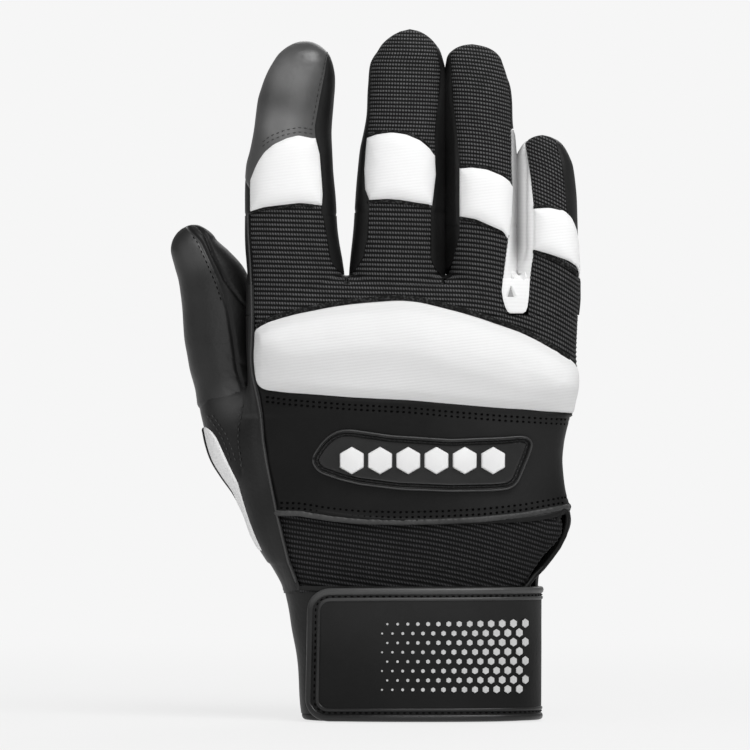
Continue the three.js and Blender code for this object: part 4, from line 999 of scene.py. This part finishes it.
def back_of_hand():
    """The knit, the padded crescent, the leather band and the wrist."""
    z = np.arange(111, 135.3, KNIT_STEP)
    dress(knit_panel("knuckle_knit", hand_skin, z, spread(left_edge(z), right_edge(z), 180), black_knit, ribs(),
                     tuck=0.3), "black_knit", "hand", "knuckle_knit_panel")
    z = np.arange(135, 145.3, KNIT_STEP)
    dress(knit_panel("knuckle_knit_top", hand_skin, z, spread(left_edge(z), hand_skin.back_at(z, 45.0), 130),
                     black_knit, ribs()), "black_knit", "hand")
    z = np.linspace(46, 146, 300)
    dress(rope("left_piping", *seam_row(hand_skin, z, left_edge(z) - 0.006, 0.4), 0.36, piping_leather, 8),
          "black_leather", "hand")

    # Padded crescent over the knuckles
    x = np.concatenate([np.linspace(-39.6, -35, 12), np.linspace(-34, 60, 95), np.linspace(60.5, 67.3, 22)])
    z = between(by_x(CRESCENT_BOTTOM, x, 6), by_x(CRESCENT_TOP, x, 6), 44)
    share = np.linspace(0, 1, len(x))
    start, end = np.exp(-share * 30), np.exp(-(1 - share) * 22)
    place = hand_skin.back_at(z, x) * (1 - start) * (1 - end)
    place = np.maximum.accumulate(place + left_edge(z[:, :1]) * start + right_edge(z[:, -1:]) * end, 1)

    def crown(flat):
        """Fullest over the knuckles, falling to the lower seam."""
        tall, fall = flat[-1:, :, 2] - flat[:1, :, 2], flat[-1:, :, 2] - flat[..., 2]
        ridge = np.clip(tall * (0.3 + 0.16 * ease((flat[..., 0] - 8) / 30)), 3, 12)
        full = np.where(fall < ridge, np.sin(np.minimum(fall / ridge, 1) * math.pi / 2),
                        1 - 0.86 * ease((fall - ridge) / np.maximum(tall - ridge, 8)) ** 0.8)
        return 6.8 * full * ease(border(flat) / 4.0) ** 0.7

    puffed = panel("knuckle_crescent", hand_skin, z, place, crescent_shaded_cloth,
                   lambda flat: 0.1 + unevenness(flat, 0.12, (31, 23), (57, 41)), tuck=0.4, tuck_width=1.0,
                   forward=crown, cap=1.2)
    dress(puffed, "white_knit", "hand", "crescent_cover", "crescent_foam")
    x = np.linspace(-39.3, 64.6, 150)
    dress(tape("crescent_tape", hand_skin, by_x(CRESCENT_TOP, x, 10) - 0.2, lambda z: hand_skin.back_at(z, x), 1.8,
               0.1), "black_leather", "hand")

    # Leather band under the crescent
    x = np.linspace(-39, 66, 140)
    z = between(by_x(BAND_BOTTOM, x, 4), by_x(CRESCENT_BOTTOM, x, 6) + 0.5, 70)
    share = np.linspace(0, 1, len(x))

    def band_relief(flat):
        rise = lengths(flat)[1]
        fall = rise[-1:] - rise
        grooves = sum(bell(rise, at, 0.4) for at in (2.3, 4.0)) + sum(bell(fall, at, 0.4) for at in (2.7, 4.2))
        lip = 0.9 * ease((flat[..., 0] - 48) / 10) * ease(1 - fall / 3)
        return 0.45 + 0.5 * bell(rise, 0.9, 0.9) - 0.14 * grooves - lip + unevenness(flat, 0.22, (37, 29), (61, 17))

    dress(panel("band_skin", hand_skin, z, left_edge(z[:, :1]) * (1 - share) + right_edge(z[:, -1:]) * share,
                band_leather, band_relief, thickness=1.1), "black_leather", "hand", "leather_band")
    x = np.linspace(-36.5, 63, 130)
    rows = [back_row(by_x(CRESCENT_BOTTOM, x, 8) + 0.5 - drop, x, 0.42) for drop in (2.7, 4.2)]
    rows += [back_row((by_x(BAND_BOTTOM, x, 6) + rise)[x > -32], x[x > -32], 0.42) for rise in (2.5, 4.2)]
    dress(stitches("band_stitches", rows, hole_thread, 2.0, 1.1, 0.42), "black_leather", "hand")
    x = np.linspace(-33.4, 64.6, 200)
    points, normals = back_row(by_x(BAND_BOTTOM, x, 8) + 0.75, x, 0.55)
    points += normals * (0.16 * np.sin(x * 1.9) * np.sin(x * 0.83))[:, None]
    dress(rope("band_fold", points, normals, 0.95, fold_leather, 12, 0.55), "black_leather", "hand")

    # Stretch knit above the strap, up to the wrist slit
    z = np.arange(43, 71.6, 0.4)

    def gusset_relief(flat):
        x, height = flat[..., 0], flat[..., 2]
        folds = 0.35 * ease((x - 34) / 16) * np.sin((height * 0.8 + x * 0.75) / 2.9)
        folds += 0.22 * np.sin((height + x * 0.12) / 3.4) - 1.6 * ease(1 - (by_z(SLIT_EDGE, height) - x) / 3.5)
        return ribs(WRIST_RIB, 0.17, -0.6, wrist_height)(flat) + folds

    dress(knit_panel("wrist_knit", hand_skin, z,
                     spread(left_edge(z), hand_skin.back_at(z, by_z(SLIT_EDGE, z) - 0.2), 150), gusset_knit,
                     gusset_relief, tuck=0.3, rows=wrist_height), "black_knit", "hand", "wrist_knit_panel")
    line = np.array(SLIT_LINE)
    points, normals = back_row(up(line[:, 1]), across(line[:, 0]), 0.15)
    points[-3:] -= normals[-3:] * np.array([[0.4], [1.2], [2.4]])
    dress(rope("slit_edge", smooth_path(points, 160), smooth_path(normals, 160), 0.9, band_leather),
          "black_leather", "hand", "slit_binding")

    # White foot of the wall between ring finger and little finger
    z = np.arange(135.4, 147.2, 0.3)
    left = np.interp(z, [135.4, 136, 137.3, 140, 142.7, 147], [44.8, 43.9, 43.2, 42.4, 42.0, 42.5])
    right = np.interp(z, [135.4, 136, 137.5, 141, 147], [49.0, 49.9, 50.5, 51.0, 51.5])

    def foot_relief(flat):
        x, height = flat[..., 0], flat[..., 2]
        wide = np.clip((144.4 - height) / 3.4, 0, 1) * 1.3
        pit = ease(2.2 - np.abs(x - 45.0) / np.maximum(wide, 0.05) * 1.6) * (height > 140.6) * (height < 144.4)
        return 0.8 - 0.52 * ease((height - 142.6) / 4.4) - 0.95 * pit

    dress(panel("wall_foot", hand_skin, z, spread(hand_skin.back_at(z, left), hand_skin.back_at(z, right), 34),
                shaded_wall_cloth, foot_relief, tuck=0.3, tuck_width=0.8), "white_side", "hand", "fourchette_base")
    # A small dark grey sheet in the pit of the foot, as painted shade of the dimple.
    z = np.linspace(141.0, 143.9, 10)
    half = np.clip((144.4 - z) / 3.4, 0.05, 1)
    place = spread(hand_skin.back_at(z, 45.0 - half), hand_skin.back_at(z, 45.0 + half), 10)
    dress(panel("wall_foot_dimple_shade", hand_skin, z, place, dimple_shade_cloth, thickness=0.3, tuck=0), "white_side", "hand")


def badge():
    """A moulded plate with a raised rim and a groove inside it, and six hexagonal studs."""
    ends = 1 - np.cos(np.linspace(0, math.pi / 2, 26))
    left, right = across(314), across(529.5)
    x = np.concatenate([left + 9 * ends, np.linspace(left + 9.6, right - 7.6, 90), right - 7 * ends[::-1]])
    share = 0.5 - 0.5 * np.cos(np.linspace(0, math.pi, 64))[:, None]
    z = by_x(BADGE_FOOT, x) * (1 - share) + by_x(BADGE_TOP, x) * share
    outline = np.array(BADGE_TOP + BADGE_FOOT[::-1][1:], float)
    outline = np.stack([across(outline[:, 0]), up(outline[:, 1])], -1)
    start, ahead = outline[:-1], np.diff(outline, axis=0)
    spot = np.stack([np.broadcast_to(x, z.shape), z], -1)[..., None, :] - start
    along = np.clip((spot * ahead).sum(-1) / np.maximum((ahead ** 2).sum(-1), 1e-9), 0, 1)
    inside = np.linalg.norm(spot - along[..., None] * ahead, axis=-1).min(-1)
    height = np.interp(inside, [0, 0.12, 0.3, 0.5, 0.75, 1.6, 1.8, 1.95, 2.2, 2.6],
                       [0.35, 1.7, 2.1, 2.1, 1.0, 1.0, 1.85, 2.0, 1.85, 1.8])
    dress(panel("badge_plate_rim", hand_skin, z, hand_skin.back_at(z, x), black_rubber, height, thickness=0.8,
                tuck=0), "black_rubber", "hand", "badge_plate")
    path = smooth_path(outline, 260)
    inward = unit(np.stack([np.gradient(path[:, 1]), -np.gradient(path[:, 0])], -1))
    rim, groove = path - inward * 0.12, path + inward * 1.2
    dress(rope("badge_rim_line", *back_row(rim[:, 1], rim[:, 0], 1.65), 0.38, rim_rubber, 8), "black_rubber", "hand")
    dress(stitches("badge_stitches", [back_row(groove[:, 1], groove[:, 0], 1.05)], black_thread, 1.7, 1.1, 0.2),
          "black_leather", "hand")
    mesh = bmesh.new()
    for at in np.linspace(-7.6, 38.9, 6):
        stud(mesh, hand_skin, 86.7, at, 2.1, 4.7, 4.3, 1.3)
    bmesh.ops.bevel(mesh, geom=mesh.edges[:], offset=0.28 * MM, segments=3, profile=0.5, affect="EDGES", material=-1)
    dress(finished("badge_studs", mesh, white_rubber, angle=40), "white_rubber", "hand", "badge_emblem")


# Palm, the strips that wrap forwards, and the thumb root
def palm():
    """The palm leather, the white gusset and the reinforcement."""
    def relief(flat):
        u = lengths(flat)[0]
        rolled = 0.75 * ease(1 - (u[:, -1:] - u) / 6) - ease(1 - np.minimum(u, u[:, -1:] - u) / 1.1)
        x, y, height = flat[..., 0], flat[..., 1], flat[..., 2]
        groove = bell(x, by_z(STRIP_SEAM, height), 0.65) * (y < 9)
        groove = 0.6 * groove * ease((110.5 - height) / 5) * ease((height - 80) / 5)
        return unevenness(flat, 0.35, (41, 31), (23, 47)) + 0.05 + rolled - groove

    z = np.arange(42.4, 135.4, 0.6)
    dress(panel("palm_skin", hand_skin, z, spread(right_edge(z), left_edge(z) + 2, 260), palm_finish, relief,
                thickness=1.2, tuck=0), "black_leather", "hand", "palm_leather")
    z = np.linspace(up(468), up(404), 60)
    rows = [back_row(z, by_z(STRIP_SEAM, z) + 0.8, 0.3)]
    dress(stitches("strip_stitches", rows, black_thread, 2.0, 1.3, 0.2), "black_leather", "hand")
    z = np.arange(135, 145.4, 0.5)
    dress(panel("palm_skin_top", hand_skin, z, spread(hand_skin.palm_at(z, 49.5), left_edge(z) + 2, 180),
                palm_finish, relief, thickness=1.2, tuck=0), "black_leather", "hand")

    # White gusset at the thumb root
    z = np.arange(56.6, 97.6, 0.45)
    side = hand_skin.side_at(z, 12, -1)
    dress(panel("thumb_gusset_cloth", hand_skin, z, spread(side, hand_skin.back_at(z, by_z(GUSSET_EDGE, z)), 40),
                white_knit, 0.35, tuck=0.3, tuck_width=0.8), "white_side", "hand", "thumb_gusset")
    dress(rope("gusset_piping", *seam_row(hand_skin, z, side, 0.4), 0.7, side_leather, 8), "black_leather", "hand")
    z = np.linspace(up(462), up(414), 60)
    rows = [back_row(z, by_z(GUSSET_STITCHES, z) + shift, 0.32) for shift in (-0.3, 1.5)]
    dress(stitches("gusset_stitches", rows, black_thread, 1.9, 1.3, 0.2), "black_leather", "hand")

    # Reinforcement on the palm
    x = np.linspace(-9.0, 58, 100)
    low = np.interp(x, [-9, -4, 50, 58], [70, 57, 57, 75])
    high = np.interp(x, [-9, -4, 50, 58], [112, 126.5, 126.5, 108])
    z = between(soften(low, 8), soften(high, 8), 90)
    place = hand_skin.palm_at(z, x)
    dress(panel("palm_patch_skin", hand_skin, z, place[:, ::-1], patch_leather, 1.1, thickness=0.8, tuck=0.7,
                tuck_width=1.2), "gloss_leather", "hand", "palm_patch")
    rows = [seam_row(hand_skin, z[part], place[part], 1.2) for part in (
        np.s_[5, 8:-8], np.s_[-6, 8:-8], np.s_[6:-6, 3], np.s_[6:-6, -4])]
    dress(stitches("palm_patch_stitches", rows, black_thread, 2.4, 1.6, 0.24), "black_leather", "hand")


def webs():
    """Saddles of leather or cloth that close the feet of the gaps between the fingers."""
    for name, middle, wide, deep, foot, front, finish, slot in (
            ("web_index_middle", -9.4, 4.3, 6.6, 147.4, 0.75, side_leather, "black_leather"),
            ("web_middle_ring", 22.9, 4.3, 6.6, 147.4, 0.75, side_leather, "black_leather"),
            ("web_ring_pinky", 47.9, 2.6, 7.4, 147.6, 1.0, shaded_wall_cloth, "white_side")):
        y, x = np.meshgrid(np.linspace(front, -1, 36), np.linspace(-1, 1, 25), indexing="ij")
        points = np.stack([middle + wide * x, -deep * y, foot + 3.2 * x ** 2 - 3.2 * y ** 4], -1)
        dress(cloth_grid(name, points[::-1], finish, 0.8), slot, "hand")


# Fingers and thumb
def fingers():
    """The knit, the pad and the tip of each finger, and its sides."""
    for name, skin in finger_skins.items():
        finger = FINGERS[name]
        top = finger["foot"] + finger["length"]
        start = 135.0 if name == "pinky" else 145.0
        knuckle, hinge = finger["hinges"]
        low_bend = ("hand", name + "_lower", knuckle - KNUCKLE_REACH, knuckle + KNUCKLE_REACH)
        high_bend = (name + "_lower", name + "_upper", hinge - JOINT_REACH, hinge + JOINT_REACH)
        pad_low, pad_high = PAD_EDGES[name]

        def left_at(z):
            return soften(skin.back_at(z, by_z(KNIT_EDGES[name][0], z)), 2)

        def right_at(z):
            return soften(skin.back_at(z, by_z(KNIT_EDGES[name][1], z)), 2)

        def left_wrap(z):
            wrap = ease((z - 176) / 8) if name == "index" else 0
            return left_at(z) * (1 - wrap) + skin.side_at(z, WALL_Y, -1) * wrap

        # Knit from the hand to the pad
        z = np.arange(start, up(min(y for _, y in pad_low)) + 3, KNIT_STEP)
        dress(knit_panel(name + "_knit", skin, z, spread(left_at(z), right_at(z), 64), black_knit, ribs()),
              "black_knit", low_bend, name + "_lower_knit")
        if name == "index":
            z = np.linspace(144.8, 169, 70)
            dress(rope("index_piping", *seam_row(skin, z, left_at(z) - 0.014, 0.3), 0.32, piping_leather, 8),
                  "black_leather", low_bend)

        # Pad over the middle knuckle
        x = np.linspace(across(pad_low[0][0]), across(pad_low[-1][0]), 60)
        low, high = by_x(pad_low, x, 4), by_x(pad_high, x, 4)
        z = between(low, high, 46)
        share = np.linspace(0, 1, 60)
        place = np.array([left_at(row)[0] * (1 - share) + right_at(row)[-1] * share for row in z])
        piece = panel(name + "_pad", skin, z, place, white_knit, 0.15, tuck=0.3, tuck_width=0.8, cap=0.9,
                      forward=lambda flat: 1.5 * np.sqrt(1 - (1 - np.clip(border(flat) / 5.0, 0, 1)) ** 2))
        dress(piece, "white_knit", high_bend, name + "_pad_cover", name + "_pad_foam")
        for edge, heights, reach in (("foot", low - 1.2, 1.4), ("head", high - 0.2, 1.1)):
            if name == "index" and edge == "head":
                continue
            middles = []
            for height, at in zip(heights[3:-6], x[3:-6]):
                places = np.linspace(*(side(np.array([height]))[0] for side in (left_at, right_at)), 60)
                middles.append(np.interp(at, skin.at(height, places)[:, 0], places))
            dress(tape(f"{name}_pad_{edge}_tape", skin, heights[3:-6], np.array(middles), reach, 0.0), "black_knit",
                  high_bend)

        # Knit or leather from the pad to the tip
        begin = up(max(y for _, y in pad_high)) - 3
        z = closer(begin, top, int((top - begin) / 0.33), 1.15)
        place = spread(left_wrap(z), right_at(z), 64)
        if name == "index":
            dress(panel("index_tip_skin", skin, z, place, gloss_leather, 0.05, tuck=0.25), "gloss_leather",
                  "index_upper", "index_leather_tip")
            x = across(np.linspace(262, 313, 40))
            rows = [back_row(by_x(pad_high, x, 4) + rise, x, 0.12, skin) for rise in (1.1, 2.6)]
            z = np.linspace(up(127), up(52), 60)
            rows.append(seam_row(skin, z, right_at(z) - 0.03, 0.12))
            dress(stitches("index_tip_stitches", rows, black_thread, 1.9, 1.3, 0.18), "black_leather", "index_upper")
        else:
            dress(knit_panel(name + "_tip_knit", skin, z, place, tip_knit, ribs(TIP_RIB, 0.12, -0.2), tuck=0.2,
                             thickness=0.35), "black_knit", name + "_upper", name + "_upper_knit")
        finger_sides(name, skin, start, top, left_at, left_wrap, right_at, low_bend, high_bend)


def finger_sides(name, skin, start, top, left_at, left_wrap, right_at, low_bend, high_bend):
    """Sides and palm side: a root piece over the knuckle hinge and one over the middle hinge. The ring and
    little fingers have a white wall between them."""
    split = sum(FINGERS[name]["hinges"]) / 2
    wall = {"ring": 1, "pinky": -1}.get(name, 0)
    wall_top, wall_end = (197, 197) if wall > 0 else (193, 193.6)
    side, amount, low, high = FINGERS[name]["lean"]

    def side_relief(flat):
        """Leans to the neighbour behind the back of the hand."""
        x, y, z = flat[..., 0], flat[..., 1], flat[..., 2]
        middle, half = (x.max(1) + x.min(1)) / 2, (x.max(1) - x.min(1)) / 2 + 0.1
        lean = amount * np.clip(side * (x - middle[:, None]) / half[:, None], 0, 1) ** 2
        return (unevenness(flat, 0.1, (13, 17))
                + lean * ease((y + 6) / 6) * ease((z - low) / 6) * ease((high - z) / 10))

    def wall_relief(flat):
        y, z = flat[..., 1], flat[..., 2]
        lean = ease((y + 5) / 6) * ease((z - 146) / 5) * ease((192 - z) / 10) * (1.0 if name == "pinky" else 0.5)
        return 0.1 + lean - (2.4 if name == "pinky" else 0) * bell(y, -5.0, 2.0) * ease((z - 150) / 8)

    for part, half, z, bend, tuck in (
            ("root", "lower", np.arange(start, split + 0.4, 0.5), low_bend, 0.0),
            ("skin", "upper", closer(split, top, int((top - split) / 0.5), 1.25), high_bend, 0.25)):
        first, last = right_at(z), left_wrap(z) + 2
        if wall > 0:
            first = np.where(z < wall_top, skin.side_at(z, WALL_Y, 1), first)
        if wall < 0:
            last = np.where(z < wall_top, skin.side_at(z, WALL_Y, -1) + 2, last)
        dress(panel(f"{name}_{part}", skin, z, spread(first, last, 110), side_leather, side_relief, tuck=tuck),
              "black_leather", bend, f"{name}_{half}_palm_skin")
        if wall:
            z = z[(z > 144.4) & (z < wall_end)]
            edge = skin.side_at(z, WALL_Y + 0.3, wall)
            place = spread(right_at(z), edge, 36) if wall > 0 else spread(edge, left_at(z), 36)
            dress(panel(f"{name}_wall_{part}", skin, z, place, shaded_wall_cloth, wall_relief, tuck=0.2), "white_side",
                  bend, f"{name}_fourchette_{half}")


def thumb():
    """Two leathers on each half, joined at one seam, and the knit at the tip."""
    centre = THUMB["centre"]

    def relief(flat):
        x, y, z = flat[..., 0], flat[..., 1], flat[..., 2]
        creases = sum(bell(z + (x + 45) * 0.5, at, 0.8) for at in (108.0, 113.5, 119.0)) * ease((x + 52) / 6)
        root = 4.6 * ease((107.5 + (x + 45) * 0.15 - z) / 7)
        u = lengths(flat)[0]
        fold = 0.75 * bell(x, by_z(THUMB_FOLD, z), 0.6) * (y < centre - 2)
        return (0.2 + unevenness(flat, 0.3, (43, 53), (29, 37)) - 0.3 * creases - root
                - 0.4 * ease(1 - np.minimum(u, u[:, -1:] - u) / 1.2) - fold)

    for part, under, z, hinge in (("lower", "hand", np.arange(101.5, 125.6, 0.5), THUMB["hinges"][0]),
                                  ("upper", "thumb_lower", closer(125.4, THUMB_TOP, 90, 1.25), THUMB["hinges"][1])):
        seam = soften(thumb_skin.back_at(z, by_z(THUMB_SEAM, z)), 2)
        outer = thumb_skin.side_at(z, centre, -1)
        for side, first, last, count, finish, slot in (
                ("back", outer, seam, 60, thumb_leather, "black_leather"),
                ("front", seam, outer + 2, 120, side_leather, "gloss_leather")):
            dress(panel(f"thumb_{part}_{side}_skin", thumb_skin, z, spread(first, last, count), finish, relief,
                        tuck=0), slot, (under, "thumb_" + part, hinge - JOINT_REACH, hinge + JOINT_REACH),
                  f"thumb_{part}_{side}")
    z = np.linspace(up(296), up(240), 60)
    inner = thumb_skin.back_at(z, by_z(THUMB_FOLD, z) + 1.0)
    place = spread(inner, np.maximum(thumb_skin.side_at(z, centre - 3, 1), inner + 0.05), 30)
    dress(knit_panel("thumb_side_knit", thumb_skin, z, place, side_knit, 0.12, tuck=0.3), "black_knit",
          "thumb_upper")
    z = np.linspace(up(385), up(236), 120)
    z = z[z > 139.5]
    rows = [back_row(z, by_z(THUMB_SEAM, z) - 1.3, 0.3, thumb_skin)]
    dress(stitches("thumb_seam_stitches", rows, hole_thread, 1.9, 1.3, 0.19), "black_leather", "thumb_upper")


# Cuff and strap
def cuff():
    """The outer and inner band, the hem, the fastener patches and the plain label."""
    whole = np.linspace(-1, 1, 260)
    dress(panel("cuff_band_skin", cuff_skin, np.linspace(2.4, 45, 90), whole, black_leather,
                lambda flat: unevenness(flat, 0.3, (29, 23), (47, 37)), thickness=1.5, tuck=0), "black_webbing",
          "hand", "cuff_band")
    dress(panel("cuff_lining_skin", cuff_skin, np.linspace(2.4, 44, 90), whole, black_tape, -1.8, thickness=0.8,
                tuck=0), "black_knit", "hand", "cuff_lining")
    dress(rope("cuff_hem_roll", *seam_row(cuff_skin, np.full(261, 1.6), np.linspace(-1, 1, 261), -1.3), 1.5,
               side_leather, 14, 0.9, True), "black_leather", "hand", "cuff_hem")

    # Hook and loop patches and the label inside
    for name, node, body, left, right, low, high, lift in (
            ("loop_patch_pile", "cuff_loop_patch", "hand", -10.2, 37.8, 6, 38, 1.1),
            ("hook_patch_pile", "strap_hook_patch", "strap", -20, 10, 9, 35, 2.3)):
        z = np.linspace(low, high, 60)
        dress(panel(name, cuff_skin, z, spread(*(cuff_skin.back_at(z, x) for x in (left, right)), 90), black_tape,
                    lift, thickness=0.7, tuck=0.25), "black_webbing", body, node)
    z = np.linspace(17, 27, 24)
    dress(panel("label_cloth", cuff_skin, z, spread(*(cuff_skin.palm_at(z, x) for x in (20.8, 6.8)), 30), white_side,
                -2.9, thickness=0.4, tuck=0), "white_side", "hand", "size_tag")


def strap():
    """The strap with its binding, stitches and dots, and the sewn end it hinges on."""
    bend = np.linspace(0, math.pi / 2, 14)
    x = np.concatenate([STRAP_LEFT + STRAP_ROUND * (1 - np.cos(bend)),
                        np.linspace(STRAP_LEFT + STRAP_ROUND + 0.6, 49.5, 110)])
    inset = STRAP_ROUND - np.sqrt(STRAP_ROUND ** 2 - np.clip(STRAP_ROUND - (x - STRAP_LEFT), 0, STRAP_ROUND) ** 2)
    z = between(STRAP_LOW + inset, STRAP_HIGH - inset, 70)
    place = cuff_skin.back_at(z, x)
    side = cuff_skin.side_at(22.0, 0.2, 1)
    share = np.clip((np.arange(len(x)) - 100) / (len(x) - 101), 0, 1)
    place = place * (1 - share) + (place[:, 100:101] * (1 - share) + side * share) * share

    def thinner(flat):
        """How much closer the strap lies at its root."""
        return 0.6 * ease((flat[..., 0] - 40) / 11)

    def strap_relief(flat):
        return (STRAP_LIFT - 0.35 * (1 - ease(border(flat) / 3.2)) + unevenness(flat, 0.12, (43, 31), (19, 27))
                - thinner(flat))

    def outline(inset, lift):
        """A line inside the edge of the strap, from its root round the free end and back."""
        left, low, high, radius = STRAP_LEFT + inset, STRAP_LOW + inset, STRAP_HIGH - inset, STRAP_ROUND - inset
        turn = np.linspace(0, math.pi / 2, 12)
        x = left + radius - radius * np.concatenate([np.sin(turn), np.cos(turn)])
        z = np.concatenate([high - radius + radius * np.cos(turn), low + radius - radius * np.sin(turn)])
        above, below = (cuff_skin.back_at(height, left + radius) for height in (high, low))
        places = np.concatenate([np.linspace(side, above, 90)[:-1], cuff_skin.back_at(z, x),
                                 np.linspace(below, side, 90)[1:]])
        heights = np.concatenate([np.full(89, high), z, np.full(89, low)])
        flat, normals = seam_row(cuff_skin, heights, places, 0)
        return flat + normals * (lift - thinner(flat))[:, None], normals

    dress(panel("strap_face", cuff_skin, z, place, strap_leather, strap_relief, thickness=1.7, tuck=0),
          "black_leather", "strap", "closure_strap")
    for name, inset, drop, radius in (("strap_piping", 1.1, 0.35, 1.2), ("strap_ridge", 3.7, 0.1, 0.6)):
        path = (smooth_path(line, 420) for line in outline(inset, STRAP_LIFT - drop))
        dress(rope(name, *path, radius, binding_leather, 12, 0.8), "black_webbing", "strap", "strap_binding")
    dress(stitches("strap_stitches", [outline(2.75, STRAP_LIFT - 0.05)], hole_thread, 2.1, 1.4, 0.3),
          "black_webbing", "strap")

    # Silver dots, smaller towards the free end
    mesh = bmesh.new()
    for row, column in np.ndindex(8, 14):
        step = column + row % 2 * 0.5
        radius = 0.35 + 1.2 * step / 13.5
        stud(mesh, cuff_skin, 11.0 + row * 3.1, 2.6 + step * 3.3, STRAP_LIFT + 0.12, radius, radius * 0.94, 0.24)
    dress(finished("strap_dots", mesh, silver_film, angle=30), "silver_film", "strap", "strap_transfer")
    z = np.linspace(STRAP_LOW, STRAP_HIGH, 60)
    dress(panel("strap_anchor_skin", cuff_skin, z, spread(side, cuff_skin.side_at(z, 12.5, 1), 20),
                strap_leather, STRAP_LIFT - 0.6, thickness=3.0, tuck=0.6), "black_leather", "hand", "strap_anchor")


for make in (back_of_hand, badge, palm, webs, fingers, thumb, cuff, strap):
    make()
